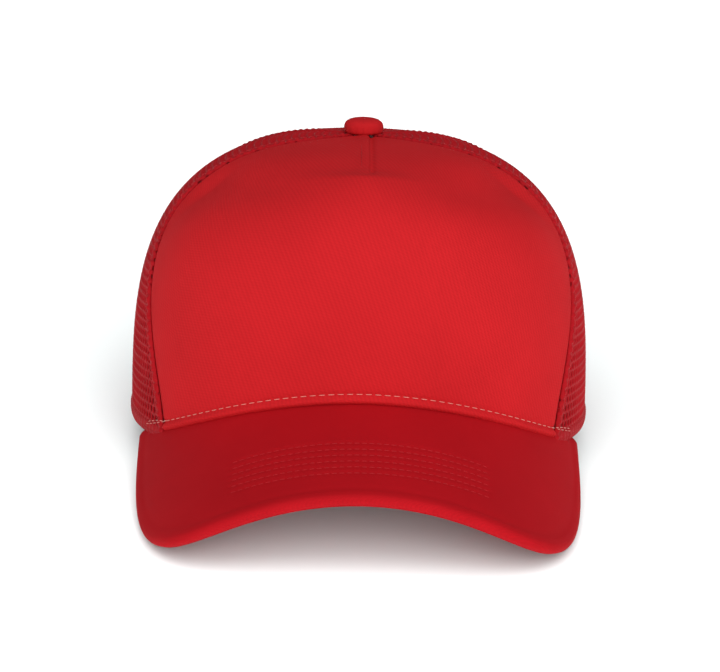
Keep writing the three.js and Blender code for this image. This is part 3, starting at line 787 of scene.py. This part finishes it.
def net_panel(name, from_seam, to_seam, side, node):
    """Knitted netting cut to the panel: every cell has a real hole, and the cut edge is closed."""
    middle = (seam_azimuth(from_seam, 0.5) + seam_azimuth(to_seam, 0.5)) / 2
    length = float(wall_length(middle))
    rows = int(length / CELL_HEIGHT) + 1
    half = int(NET_HALF_WIDTH / CELL_WIDTH)
    row, column = np.meshgrid(np.arange(rows), np.arange(-half, half + 1), indexing="ij")
    u = (column + 0.5 * (row % 2)) * CELL_WIDTH
    v = (row + 0.5) * CELL_HEIGHT
    u, v = u.ravel(), v.ravel()
    share = v / length
    azimuth = middle + u / ring_radius(middle, share)
    keep = (azimuth > seam_azimuth(from_seam, share)) & (azimuth < seam_azimuth(to_seam, share))
    point = crown_point(azimuth, lift_at(azimuth, share))
    in_arch = (point[:, 1] > 0) & (point[:, 2] < arch_height(point[:, 0], ARCH_MARGIN))
    keep &= (share < SEAM_TOP) & ~in_arch
    u, v = u[keep], v[keep]
    border, strand, hole = cell_rings()
    layers = [border, strand, hole, strand * [1, 1, -1], border * [1, 1, -1]]
    cell = np.stack(layers)
    place = cell[None, ...] + np.stack([u, v, 0 * u], -1)[:, None, None, :]
    flat = place.reshape(-1, 3)
    keys = np.round(flat * 400).astype(np.int64)
    _, first, index = np.unique(keys, axis=0, return_index=True, return_inverse=True)
    flat = flat[first]
    share = np.clip(flat[:, 1] / length, 0.004, 0.99)
    azimuth = middle + flat[:, 0] / ring_radius(middle, share)
    azimuth = np.clip(azimuth, seam_azimuth(from_seam, share), seam_azimuth(to_seam, share))
    points = wall(side * azimuth, share, NET_DEPTH + flat[:, 2])
    index = index.reshape(len(u), 5, 12)
    after = np.roll(index, -1, axis=2)
    quads = np.stack([index[:, :-1], after[:, :-1], after[:, 1:], index[:, 1:]], -1).reshape(-1, 4)
    # Where only one cell has an edge, the net ends, and its two faces are joined.
    edges = np.stack([after[:, 0], index[:, 0], index[:, -1], after[:, -1]], -1).reshape(-1, 4)
    ends = np.sort(edges[:, :2], axis=1)
    _, same, uses = np.unique(ends, axis=0, return_inverse=True, return_counts=True)
    quads = np.concatenate([quads, edges[uses[same.ravel()] == 1]])
    if side > 0:
        quads = quads[:, ::-1]
    uv = pair(side * flat[:, 0], flat[:, 1])
    piece = add_mesh(name, points, quads.tolist(), red_net, uv)
    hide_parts(node)


# ---- seams and tapes

WELT_HALF = 1.9
RIDGE_HALF = 2.7
SEAM_FLOOR = -0.9
TAPE_HALF = 6.0
TAPE_TOP = 0.94
TAPE_THICKNESS = 0.65
FRONT_TAPE_DEPTH = -2.4
NET_TAPE_DEPTH = -1.25
BINDING_REACH = 8.4
MESH_HEM_END = 147 * DEG

# The rear seam starts just over the arch's binding.
rear_rows = np.linspace(0, 1, CHART_ROWS)
binding_top = lift_at_height(math.pi, ARCH_HEIGHT + BINDING_REACH)
REAR_SEAM_LOW = np.interp(binding_top, lift_chart[-1], rear_rows)


def strip(name, line, half_width, profile, material, floor, node=None, sway=None):
    """A band that follows a line on the wall; profile(across, along) is its face, floor its back."""
    azimuths, shares = line
    across = np.linspace(-1, 1, 15)[None, :]
    run = (shares * wall_length(azimuths))[:, None]
    width = half_width if sway is None else half_width * sway(run)
    turn = across * width / ring_radius(azimuths, shares)[:, None]
    azimuth = azimuths[:, None] + turn * np.sign(azimuths[0])
    share = shares[:, None] + 0 * across
    out = profile(across, run)
    outer = wall(azimuth, share, out)
    inner = wall(azimuth, share, floor + 0 * out)
    uv = pair(across * half_width + half_width, run)
    piece = shell(name, outer, inner, material, uv)
    if node:
        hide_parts(node)


def seam_line(seam, side, low, high, count, shift=0.0):
    """The azimuths and shares of a seam, shifted away from the front by some millimetres."""
    shares = np.linspace(low, high, count)
    azimuths = seam_azimuth(seam, shares)
    azimuths = azimuths + shift / ring_radius(azimuths, shares)
    return side * azimuths, shares


def puckered_seams():
    """The netting gathered over the front panel's edge, and the flat seams between net panels."""

    def welt(across, along):
        fold = 1 + 0.3 * np.sin(2 * math.pi * along / 3.3 + 0.9 * np.sin(along / 7))
        fold = fold + 0.15 * np.sin(2 * math.pi * along / 1.9 + across)
        return -0.35 + 1.15 * fold * (1 - np.abs(across) ** 2.6) * mix(1, 0.55, (across + 1) / 2)

    def ridge(across, along):
        return -0.1 + 0.6 * (1 - across**4) + 0.1 * np.sin(2 * math.pi * along / 2.9) * (1 - across**2)

    def gathered(run):
        return 1 + 0.12 * np.sin(2 * math.pi * run / 3.3 + 0.9 * np.sin(run / 7))

    for suffix, side in SIDES:
        line = seam_line(FRONT_SEAM, side, 0.0, SEAM_TOP, 420, shift=WELT_HALF)
        name = f"front_seam_welt_{suffix}"
        strip(name, line, WELT_HALF, welt, red_net, SEAM_FLOOR, sway=gathered)
        line = seam_line(SIDE_SEAM, side, 0.0, SEAM_TOP, 260)
        strip(f"side_seam_ridge_{suffix}", line, RIDGE_HALF, ridge, red_net, SEAM_FLOOR)
    line = seam_line(REAR_SEAM, 1, REAR_SEAM_LOW, SEAM_TOP, 180)
    strip("rear_seam_ridge", line, RIDGE_HALF, ridge, red_net, SEAM_FLOOR)


def seam_tapes():
    def tape(name, node, line, top):
        def face(across, along):
            return top + 0.15 * across**2 + 0.05 * np.sin(along / 3.0)

        strip(name, line, TAPE_HALF, face, red_tape, top - TAPE_THICKNESS, node)

    for suffix, side in SIDES:
        line = seam_line(FRONT_SEAM, side, 0.005, TAPE_TOP, 160)
        tape(f"front_tape_{suffix}", f"front_seam_tape_{suffix}", line, FRONT_TAPE_DEPTH)
        line = seam_line(SIDE_SEAM, side, 0.005, TAPE_TOP, 160)
        tape(f"side_tape_{suffix}", f"side_seam_tape_{suffix}", line, NET_TAPE_DEPTH)
    line = seam_line(REAR_SEAM, 1, REAR_SEAM_LOW, TAPE_TOP, 120)
    tape("rear_tape", "rear_seam_tape", line, NET_TAPE_DEPTH)


def mesh_hems():
    """The netting folded up behind the sweatband along the hem, from the visor to the arch."""
    turn = circle(20)[None, :]
    azimuth = np.linspace(FRONT_SEAM["hem"] * DEG, MESH_HEM_END, 420)[:, None]
    gather = 1 + 0.1 * np.sin(azimuth * 190) + 0.06 * np.sin(azimuth * 83)
    out = -0.6 + np.cos(turn) * 0.95 * gather
    height = 3.0 + np.sin(turn) * 2.6
    share = (height + 0.2 * (1 - gather)) / wall_length(azimuth)
    uv = pair(azimuth * HALF_WIDTH, turn * 2)
    for suffix, side in SIDES:
        rings = wall(side * azimuth + 0 * out, share, out)
        piece = tube(f"mesh_hem_{suffix}", rings if side < 0 else rings[:, ::-1], red_net, uv)


# ---- visor

RIM = VISOR_THICKNESS / 2
STITCH_REACHES = np.round(np.linspace(28.0, 49.3, 6), 1)
STITCH_HALF = 48.5
GROOVE_DEPTH = 0.2
THREAD_DEPTH = 0.22
VISOR_CLOTH = 0.8
VISOR_TUCK = 1.6


def stitch_sag(x):
    """The rows run a little nearer to the crown towards their ends."""
    return 3 * (x / 50) ** 2


def visor_grooves(bend, reach):
    """The top cloth is drawn down along its stitch rows and stands up a little between them."""
    x = BEND_RADIUS * np.sin(bend)
    fade = ease(STITCH_HALF + 2.5, STITCH_HALF - 1, np.abs(x))
    drawn = np.zeros_like(x)
    for row in STITCH_REACHES:
        drawn = drawn + GROOVE_DEPTH * bump(reach + stitch_sag(x), row, 0.95)
    return drawn * fade


def visor_grid(angles, sections):
    """Points of a cloth between the wall and the rim; a section is (inset, depth), rim first."""
    rings = []
    for inset, depth in sections:
        bend, reach = visor_outline(angles, inset)
        rings.append(np.stack([bend, reach, depth + 0 * bend], -1))
    return np.array(rings)


def visor_cloth(name, node, sections, rows, columns):
    """One face's cloth, from the visor's rim to its tucked edge inside the wall."""
    angles = visor_angles(columns)
    rim = visor_grid(angles, sections)
    bend, reach, depth = rim[-1, :, 0], rim[-1, :, 1], rim[-1, :, 2]
    outer = visor_point(*visor_outline(angles))
    azimuth = np.arctan2(outer[:, 0], -outer[:, 1])
    side = crown_point(azimuth, lift_at_height(azimuth, visor_root_height(azimuth, depth)))
    side = side * (1 - VISOR_TUCK / 95.0)
    root_bend = np.arcsin(np.clip(side[:, 0] / (BEND_RADIUS - depth), -1, 1))
    drop = (BEND_RADIUS - depth) * np.cos(root_bend) - BEND_RADIUS
    root_reach = (-FRONT - side[:, 1] - drop * math.sin(PITCH)) / math.cos(PITCH)
    shares = np.linspace(0, 1, rows)[1:, None]
    bends = mix(bend[None, :], root_bend[None, :], shares)
    reaches = mix(reach[None, :], root_reach[None, :], shares)
    depths = depth[None, :] + 0 * bends
    into_board = 1 if node == "visor_top_cloth" else -1
    depths = depths + into_board * visor_grooves(bends, reaches)
    field = np.concatenate([rim, np.stack([bends, reaches, depths], -1)])
    face = visor_point(field[..., 0], field[..., 1], field[..., 2])
    around = np.gradient(face, axis=1)
    inward = np.gradient(face, axis=0)
    normal = np.cross(around, inward)
    normal /= np.linalg.norm(normal, axis=2, keepdims=True) + 1e-9
    uv = pair(field[..., 0] * BEND_RADIUS, field[..., 1])
    piece = shell(name, face, face - normal * VISOR_CLOTH, visor_twill, uv)
    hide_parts(node)


def visor():
    turn = np.radians(np.linspace(-62, 90, 13))
    top = [(RIM - RIM * math.cos(a), RIM - (RIM + 0.15) * math.sin(a)) for a in turn]
    top += [(3.2, -0.24), (4.2, -0.18), (5.2, 0.0), (6.2, 0.1), (7.4, 0.06), (9.0, 0.0)]
    visor_cloth("visor_top_twill", "visor_top_cloth", top, 96, 301)
    turn = np.radians(np.linspace(-50, -90, 5))
    under = [(RIM - (RIM - 0.5) * math.cos(a), RIM - (RIM - 0.35) * math.sin(a)) for a in turn]
    under += [(3.2, VISOR_THICKNESS - 0.05), (4.6, VISOR_THICKNESS - 0.2), (7.0, VISOR_THICKNESS)]
    visor_cloth("visor_under_twill", "visor_under_cloth", under, 80, 241)


def visor_stitching():
    x = np.linspace(-STITCH_HALF, STITCH_HALF, 121)
    bend = np.arcsin(x / BEND_RADIUS)
    cos = np.cos(bend)
    out = np.stack([np.sin(bend), -cos * math.sin(PITCH), cos * math.cos(PITCH)], -1)
    rows = []
    for reach in STITCH_REACHES:
        rows.append((visor_point(bend, reach - stitch_sag(x), THREAD_DEPTH), out))
        rows.append((visor_point(bend, reach - stitch_sag(x), VISOR_THICKNESS - THREAD_DEPTH), -out))
    piece = stitches("visor_stitching", rows, red_thread, length=2.5, pitch=2.8, width=0.26)


# ---- inside of the crown


def sweatband():
    """The band folds under at the hem and over at its top, with soft wrinkles along it."""
    azimuths = np.linspace(-SWEATBAND_END, SWEATBAND_END, 521)
    base = hem_height(azimuths) + 0.6
    top = SWEATBAND_HEIGHT
    section = [(3.9, 1.0), (4.4, 0.2), (5.0, 0.1), (5.5, 0.9), (5.5, 3.0), (5.25, 4.2), (5.5, 6.0)]
    section += [(5.55, height) for height in np.linspace(8, top - 3.5, 14)]
    section += [(5.7, top - 2), (5.6, top - 0.7), (5.0, top), (4.3, top - 0.4), (3.9, top - 2)]
    depth, rise = np.array(section).T[:, None, :]
    place = azimuths[:, None] * HALF_WIDTH
    ripple = 0.35 * np.sin(place / 5.5 + 0.8 * np.sin(place / 31)) * np.sin(rise / 9.0)
    ripple = ripple + 0.2 * np.sin(place / 2.3 + rise / 6) * ease(10, 30, rise)
    depth = depth + ripple * ease(4.6, 5.5, depth) * ease(5, 12, rise)
    lift = lift_at_height(azimuths[:, None], base[:, None] + rise)
    azimuth = azimuths[:, None] + 0 * rise
    rings = crown_point(azimuth, lift) - crown_normal(azimuth, lift) * depth[..., None]
    uv = pair(place, rise + 6 - depth)
    piece = tube("sweatband_twill", rings, band_twill, uv)
    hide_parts("sweatband")


# ---- arch binding

BINDING_END = 1.0


def arch_path(grow, count):
    """Points (x, z) beside the arch's outline, from the -X foot over the top to the +X foot."""
    curve = np.linspace(0, math.pi, 2000)
    rise = np.linspace(BINDING_END, ARCH_STRAIGHT, 200)

    def outline(grown):
        half = ARCH_HALF + grown
        top = ARCH_HEIGHT - ARCH_STRAIGHT + grown
        x = np.concatenate([np.full(200, -half), -half * np.cos(curve), np.full(200, half)])
        return x, np.concatenate([rise, ARCH_STRAIGHT + top * np.sin(curve), rise[::-1]])

    x, z = outline(grow)
    run = run_along(np.stack(outline(0), -1))
    where = np.linspace(0, run[-1], count)
    return np.interp(where, run, x), np.interp(where, run, z), where


# Across the binding: how far outside the arch's edge, and how far out of the wall.
BINDING_SECTION = [
    (7.9, 0.15), (7.7, 0.75), (6.9, 0.85), (6.2, 0.62), (5.4, 0.88), (3.8, 0.98), (2.2, 0.88),
    (1.5, 0.66), (0.8, 0.98), (-0.2, 1.0), (-0.9, 0.6), (-1.2, -0.3), (-1.1, -1.0), (-0.6, -1.7),
    (0.2, -2.0),
    (0.8, -1.98), (1.5, -1.66), (2.2, -1.88), (3.8, -1.98), (5.4, -1.88), (6.2, -1.62), (6.9, -1.85),
    (7.7, -1.75), (7.9, -1.2),
]


def arch_binding():
    stations = 300
    rings, uv = [], []
    for number, (grow, out) in enumerate(BINDING_SECTION):
        x, z, run = arch_path(grow, stations)
        pucker = 0.1 * np.sin(2 * math.pi * run / 3.0) * (1 if abs(out) > 0.5 else 0)
        rings.append(rear_wall(x, z, out + np.sign(out + 0.5) * pucker))
        uv.append(pair(number * 0.9, run))
    rings = np.stack(rings, 1)
    piece = tube("arch_binding", rings[::-1], red_tape, np.stack(uv, 1)[::-1])
    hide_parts("opening_binding")


def arch_rows():
    rows = []
    for grow in (1.5, 6.2):
        x, z, _ = arch_path(grow, 400)
        for out, sign in ((0.68, 1), (-1.68, -1)):
            here = rear_wall(x, z, np.full_like(x, out))
            rows.append((here, (rear_wall(x, z, np.full_like(x, out + 1)) - here) * sign))
    return rows


# ---- stitching on the crown


PALE_ROW_END = 61.5 * DEG
PALE_ROW_DOUBLED = 50.0 * DEG
SEAM_ROW = 2.0
TAPE_ROW = 4.6
ON_FRONT_TAPE = FRONT_TAPE_DEPTH - TAPE_THICKNESS - 0.03
ON_NET_TAPE = NET_TAPE_DEPTH - TAPE_THICKNESS - 0.03
ON_RIDGE = 0.45


def crown_stitching():
    """The pale row above the visor, doubled over the seams at both corners."""
    rows = []
    azimuth = np.linspace(-PALE_ROW_END, PALE_ROW_END, 600)
    share = (visor_joint(azimuth) + ROLL_HEIGHT) / wall_length(azimuth)
    out = np.where(np.abs(azimuth) > 53 * DEG, 0.55, -0.3)
    lift = lift_at(azimuth, share)
    normal = crown_normal(azimuth, lift)
    rows.append((crown_point(azimuth, lift) + normal * out[:, None], normal))
    for side in (-1, 1):
        doubled = side * np.linspace(PALE_ROW_DOUBLED, PALE_ROW_END, 80)
        apart = ease(PALE_ROW_DOUBLED, PALE_ROW_DOUBLED + 6 * DEG, np.abs(doubled))
        height = visor_joint(doubled) + ROLL_HEIGHT + apart
        rows.append(wall_row(doubled, height / wall_length(doubled), 0.5))
    piece = stitches("crown_stitching", rows, pale_thread, length=2.5, pitch=3.6, width=0.28, sink=0.0)


def tonal_stitching():
    """Rows in the cap's own red: beside the seams, along the tapes, the hems and the sweatband."""
    rows = []
    for side in (-1, 1):
        rows.append(wall_row(*seam_line(FRONT_SEAM, side, 0.05, 0.93, 300, shift=1.4), 0.75))
        for shift in (SEAM_ROW, -SEAM_ROW):
            rows.append(wall_row(*seam_line(SIDE_SEAM, side, 0.03, 0.93, 300, shift), ON_RIDGE))
        for seam, out in ((FRONT_SEAM, ON_FRONT_TAPE), (SIDE_SEAM, ON_NET_TAPE)):
            for shift in (TAPE_ROW, -TAPE_ROW):
                rows.append(wall_row(*seam_line(seam, side, 0.2, 0.93, 300, shift), out))
        azimuth = side * np.linspace(67 * DEG, SWEATBAND_END, 300)
        rows.append(wall_row(azimuth, 4.6 / wall_length(azimuth), 0.33))
    for row, out in ((SEAM_ROW, ON_RIDGE), (TAPE_ROW, ON_NET_TAPE)):
        for shift in (row, -row):
            rows.append(wall_row(*seam_line(REAR_SEAM, 1, 0.46, 0.93, 200, shift), out))
    azimuth = np.linspace(-SWEATBAND_END + 0.02, SWEATBAND_END - 0.02, 900)
    height = hem_height(azimuth) + 0.6 + 4.2
    lift = lift_at_height(azimuth, height)
    normal = crown_normal(azimuth, lift)
    rows.append((crown_point(azimuth, lift) - normal * 5.3, -normal))
    piece = stitches("tonal_stitching", rows + arch_rows(), red_thread, length=2.0, pitch=2.9, width=0.34)


def dart_stitching():
    share = 1 - np.linspace(11.0, DART_LENGTH - 1, 90) / float(wall_length(0.0))
    azimuth = -0.9 / ring_radius(0 * share, share)
    row = wall_row(azimuth, share, 0.0)
    piece = stitches("dart_stitching", [row], red_thread, length=1.6, pitch=2.3, width=0.26)


# ---- top button


BUTTON_CLOTH = 0.8
SHELL_INSET = 1.1
SHELL_WALL = 0.7


def dome(radius, height, foot):
    """Points (radius, height) from a flattened dome's top down to its foot."""
    points = []
    for angle in np.linspace(0, math.pi / 2, 16):
        across = radius * math.sin(angle) ** 0.72
        points.append((across, foot + (height - foot) * math.cos(angle) ** 0.62))
    points[0] = (0.02, height)
    return points


def button():
    outer = dome(BUTTON_RADIUS, BUTTON_HEIGHT, 1.7)
    inner = dome(BUTTON_RADIUS - BUTTON_CLOTH, BUTTON_HEIGHT - BUTTON_CLOTH, 1.7)
    lip = [(BUTTON_RADIUS - 0.15, 1.1), (BUTTON_RADIUS - 0.7, 0.5), (BUTTON_RADIUS - 1.5, 0.4)]

    def pleats(angle, height):
        low = ease(3.4, 0.8, height)
        return 0.012 * low * np.sin(angle * 17 + 0.7 * np.sin(angle * 3))

    cover = lathe("button_cloth", outer + lip + inner[::-1], red_button, 120, pleats)
    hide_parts("button_cover")
    radius, height = BUTTON_RADIUS - SHELL_INSET, BUTTON_HEIGHT - SHELL_INSET
    outer = dome(radius, height, 1.6)
    inner = dome(radius - SHELL_WALL, height - SHELL_WALL, 1.6)
    prong = [(1.5, inner[0][1]), (1.5, -3.2), (2.3, -3.5), (2.3, -3.8), (1.6, -4.1), (0.02, -4.2)]
    shell_piece = lathe("button_stud", outer + inner[:1:-1] + prong, steel, 64)
    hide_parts("button_shell")
    ring = [(1.8, -2.5), (10.2, -2.4), (10.9, -2.6), (11.0, -3.0), (10.6, -3.4), (9.6, -3.45)]
    ring += [(9.0, -3.0), (4.0, -3.0), (3.2, -3.5), (1.8, -3.5), (1.8, -2.5)]
    washer = lathe("button_washer", ring[:-1], steel, 72)
    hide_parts("button_ring")


# ---- snap straps


SNAP_SIDES = 28
SNAP_HOLE = 2.6
STRAP_CORNER = 7.0
STRAP_EDGE = 0.9
FLEX_HALF = 0.9
STRAP_GAP = 0.3
STRAP_MIDDLE = STRAP_BOTTOM + STRAP_HEIGHT / 2
HALF_THICK = STRAP_THICKNESS / 2
HOLE_STRAP_INNER = STRAP_RADIUS + STRAP_GAP
STUD_STRAP_INNER = STRAP_RADIUS - STRAP_THICKNESS


def rounded_end(x):
    """The strap's half height at x: full, with round corners at the free end."""
    past = np.clip((FREE_END_X + STRAP_CORNER - x) / STRAP_CORNER, 0, 1)
    return STRAP_HEIGHT / 2 - STRAP_CORNER + STRAP_CORNER * np.sqrt(1 - past**2)


def strap_band(name, side, inner_radius):
    """A soft-edged band curved along the closure, from its sewn root to its free end."""
    corner = FREE_END_X + STRAP_CORNER * (1 - np.cos(np.linspace(0.12, math.pi / 2, 14)))
    straight = np.linspace(FREE_END_X + STRAP_CORNER + 0.4, ROOT_X, 150)
    x = np.concatenate([corner, straight])[:, None]
    levels = np.linspace(1, -1, 17)
    up = np.concatenate([levels, -levels])[None, :]
    face = np.repeat([1.0, -1.0], len(levels))[None, :]
    half = rounded_end(x)
    from_edge = half - np.abs(up) * half
    soft = np.clip(1 - from_edge / STRAP_EDGE, 0, 1)
    thin = HALF_THICK * np.sqrt(np.clip(1 - soft**2, 0.04, 1))
    line = 0.18 * bump(from_edge, 1.9, 0.35)
    flex = 0.35 * bump(x, HINGE_X, FLEX_HALF)
    radius = inner_radius + HALF_THICK + face * (thin - line - flex)
    angle = np.arcsin(x / (inner_radius + HALF_THICK))
    y = STRAP_CENTRE + radius * np.cos(angle)
    rings = np.stack([side * radius * np.sin(angle), y, STRAP_MIDDLE + up * half], -1)
    return tube(name, rings if side > 0 else rings[:, ::-1], red_plastic, body=None)


def at_snaps(profile, faces, side, radius):
    """A small turned shape at every snap: profile points are (radius, height) above the strap."""
    turn = circle(SNAP_SIDES)[:, None]
    points, all_faces = [], []
    for number in range(SNAP_COUNT):
        angle = math.asin((number - 2) * SNAP_PITCH / STRAP_RADIUS)
        out = np.array([side * math.sin(angle), math.cos(angle), 0.0])
        centre = np.array([0, STRAP_CENTRE, STRAP_MIDDLE]) + out * radius
        ring = np.cos(turn) * np.cross(out, [0, 0, 1.0]) + np.sin(turn) * np.array([0, 0, 1.0])
        start = len(points)
        points += [centre + out * height + here * reach for reach, height in profile for here in ring]
        all_faces += [[start + corner for corner in face] for face in faces]
    return points, all_faces


def add_snaps(piece, profile, side, radius):
    """Adds a closed turned shape at every snap to a strap, as one object."""
    rounds = grid_faces(len(profile), SNAP_SIDES, wrap_columns=True, wrap_rows=True)
    snap_points, snap_faces = at_snaps(profile, rounds, side, radius)
    mesh = piece.data
    points = [list(vertex.co) for vertex in mesh.vertices]
    faces = [list(face.vertices) for face in mesh.polygons]
    faces += [[len(points) + corner for corner in face] for face in snap_faces]
    points += to_world(snap_points).tolist()
    joined = bpy.data.meshes.new(mesh.name)
    joined.from_pydata(points, [], faces)
    joined.materials.append(mesh.materials[0])
    joined.polygons.foreach_set("use_smooth", [True] * len(joined.polygons))
    piece.data = joined


def cut_holes(piece, side, radius):
    """Round holes through the strap, cut once and applied."""
    faces = grid_faces(2, SNAP_SIDES, wrap_columns=True)
    faces += [list(range(SNAP_SIDES))[::-1], list(range(SNAP_SIDES, 2 * SNAP_SIDES))]
    drill = at_snaps([(SNAP_HOLE, -3.0), (SNAP_HOLE, 3.0)], faces, side, radius)
    cutter = add_mesh("cutter", *drill, red_plastic, body=None)
    bore = piece.modifiers.new("bore", "BOOLEAN")
    bore.operation = "DIFFERENCE"
    bore.solver = "EXACT"
    bore.object = cutter
    depsgraph = bpy.context.evaluated_depsgraph_get()
    cut_mesh = bpy.data.meshes.new_from_object(piece.evaluated_get(depsgraph))
    piece.modifiers.clear()
    piece.data = cut_mesh
    bpy.data.objects.remove(cutter)


def snap_strap(kind, side, inner, profile):
    """A strap with its snaps, thinned along its flex line between its sewn root and its loose part."""
    middle = inner + HALF_THICK
    piece = strap_band(f"snap_strap_{kind}s", side, inner)
    if kind == "hole":
        cut_holes(piece, side, middle)
    add_snaps(piece, profile, side, middle)

    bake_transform(piece)
    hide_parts(f"{kind}_strap", f"{kind}_strap_root")


def hole_strap():
    rim = [(2.55, -0.55), (2.55, 0.75), (2.7, 1.0), (3.1, 1.05), (3.4, 0.85), (3.55, 0.55), (3.2, -0.5)]
    snap_strap("hole", -1, HOLE_STRAP_INNER, rim)


def stud_strap():
    foot = HALF_THICK
    stud = [(0.02, 0), (2.3, 0.2), (2.3, foot + 0.1), (1.75, foot + 0.35), (1.7, foot + 1.2)]
    stud += [(1.95, foot + 1.6), (2.0, foot + 2.0), (1.6, foot + 2.4), (1.0, foot + 2.45)]
    stud += [(0.75, foot + 2.1), (0.7, foot + 1.2), (0.02, foot + 1.1)]
    snap_strap("stud", 1, STUD_STRAP_INNER, stud)


def strap_stitching():
    """A boxed row of stitches that sews each strap's root to the crown."""
    low, high = STRAP_BOTTOM + 2.5, STRAP_BOTTOM + STRAP_HEIGHT - 2.5
    near, far = 48.5, 55.0
    box = [(near, low), (near, high), (far, high), (far, low), (near, low), (far, high)]
    rows = []
    for side, inner in ((-1, HOLE_STRAP_INNER), (1, STUD_STRAP_INNER)):
        for out, sign in ((STRAP_THICKNESS + 0.05, 1), (-0.05, -1)):
            radius = inner + out
            for (x0, z0), (x1, z1) in zip(box, box[1:]):
                angle = np.arcsin(np.linspace(x0, x1, 20) / radius)
                normal = np.stack([side * np.sin(angle), np.cos(angle), 0 * angle], -1)
                path = normal * radius + [0, STRAP_CENTRE, 0]
                path[:, 2] = np.linspace(z0, z1, 20)
                rows.append((path, normal * sign))
    piece = stitches("strap_stitching", rows, red_thread, length=1.8, pitch=2.2, width=0.34)


# ---- studio


FLOOR_HALF = 6.0
FLOOR_LEVEL = -0.0003


def floor():
    turns = ((-1, -1), (1, -1), (1, 1), (-1, 1))
    corners = [(x * FLOOR_HALF, y * FLOOR_HALF, FLOOR_LEVEL) for x, y in turns]
    mesh = bpy.data.meshes.new("floor")
    mesh.from_pydata(corners, [], [[0, 1, 2, 3]])
    sweep = Finish("pale_floor", 0.9, specular=0.0)
    # A mid-grey floor, overlit so that it renders white; its slight cyan tint is a painted counter to the
    # red bounce light in the shadow under the visor.
    sweep.coloured(sweep.noise(3.0), 0.0, (0.50, 0.52, 0.52), 1.0, (0.52, 0.54, 0.54))
    mesh.materials.append(sweep.material)
    piece = new_object("floor", mesh)
    return piece


def direction(azimuth, elevation):
    """A unit vector by its angle from the front towards +X and its angle above the floor."""
    level = math.cos(elevation)
    return np.array([math.sin(azimuth) * level, -math.cos(azimuth) * level, math.sin(elevation)])


def soft_sun(name, azimuth, elevation, strength, softness, only=None):
    """A broad, distant soft box, which can be kept to one object."""
    data = bpy.data.lights.new(name, "SUN")
    data.energy = strength
    data.angle = softness * DEG
    lamp = new_object(name, data)
    away = Vector(direction(azimuth * DEG, elevation * DEG))
    lamp.rotation_euler = away.to_track_quat("Z", "Y").to_euler()
    if only is not None:
        group = bpy.data.collections.new(name + "_receivers")
        group.objects.link(only)
        lamp.light_linking.receiver_collection = group


KEY_STRENGTH = 1.5
TOP_STRENGTH = 0.85
FLOOR_STRENGTH = 8.8
AMBIENT = 0.25


def studio(ground):
    soft_sun("key", azimuth=9.0, elevation=22.0, strength=KEY_STRENGTH, softness=30.0)
    soft_sun("overhead", azimuth=8.0, elevation=70.0, strength=TOP_STRENGTH, softness=60.0)
    soft_sun("floor_light", azimuth=0.0, elevation=37.0, strength=FLOOR_STRENGTH, softness=80.0, only=ground)
    world = bpy.data.worlds.new("studio")
    world.use_nodes = True
    background = world.node_tree.nodes["Background"]
    background.inputs["Color"].default_value = (1, 1, 1, 1)
    background.inputs["Strength"].default_value = AMBIENT
    bpy.context.scene.world = world
    bpy.context.scene.view_settings.view_transform = "Standard"


VIEW_DISTANCE = 1500.0
VIEW_ELEVATION = 11.35 * DEG
VIEW_AZIMUTH = -0.498 * DEG
VIEW_ROLL = 1.121 * DEG
VIEW_TARGET = np.array([0, 0, 55.0])
VIEW_LENS = 184.3
AIM_ACROSS = -0.31
AIM_UP = -23.15


def camera():
    back = direction(VIEW_AZIMUTH, VIEW_ELEVATION)
    level = np.array([math.cos(VIEW_AZIMUTH), math.sin(VIEW_AZIMUTH), 0])
    above = np.cross(back, level)
    right = level * math.cos(VIEW_ROLL) + above * math.sin(VIEW_ROLL)
    up = above * math.cos(VIEW_ROLL) - level * math.sin(VIEW_ROLL)
    place = VIEW_TARGET + back * VIEW_DISTANCE
    aim = VIEW_TARGET + right * AIM_ACROSS + up * AIM_UP
    toward = (place - aim) / np.linalg.norm(place - aim)
    right = np.cross(up, toward)
    right /= np.linalg.norm(right)
    axes = CAP_AXES @ np.column_stack([right, np.cross(toward, right), toward])
    data = bpy.data.cameras.new("camera")
    data.lens = VIEW_LENS
    data.clip_end = 50
    eye = new_object("camera", data)
    eye.matrix_world = Matrix.Translation(to_world(place)) @ Matrix(axes.tolist()).to_4x4()
    bpy.context.scene.camera = eye


# ---- assembly

camera()
studio(floor())
front_panel()
backing()
for suffix, side in SIDES:
    net_panel(f"side_net_{suffix}", FRONT_SEAM, SIDE_SEAM, side, f"side_mesh_{suffix}")
    net_panel(f"rear_net_{suffix}", SIDE_SEAM, REAR_SEAM, side, f"rear_mesh_{suffix}")
puckered_seams()
seam_tapes()
mesh_hems()
visor()
visor_stitching()
sweatband()
arch_binding()
crown_stitching()
tonal_stitching()
dart_stitching()
button()
hole_strap()
stud_strap()
strap_stitching()

for node, material in (("visor_board", white_board), ("sweatband_stiffener", red_fleece)):
    kept = frame["nodes"][node].data.materials
    kept.clear()
    kept.append(material)
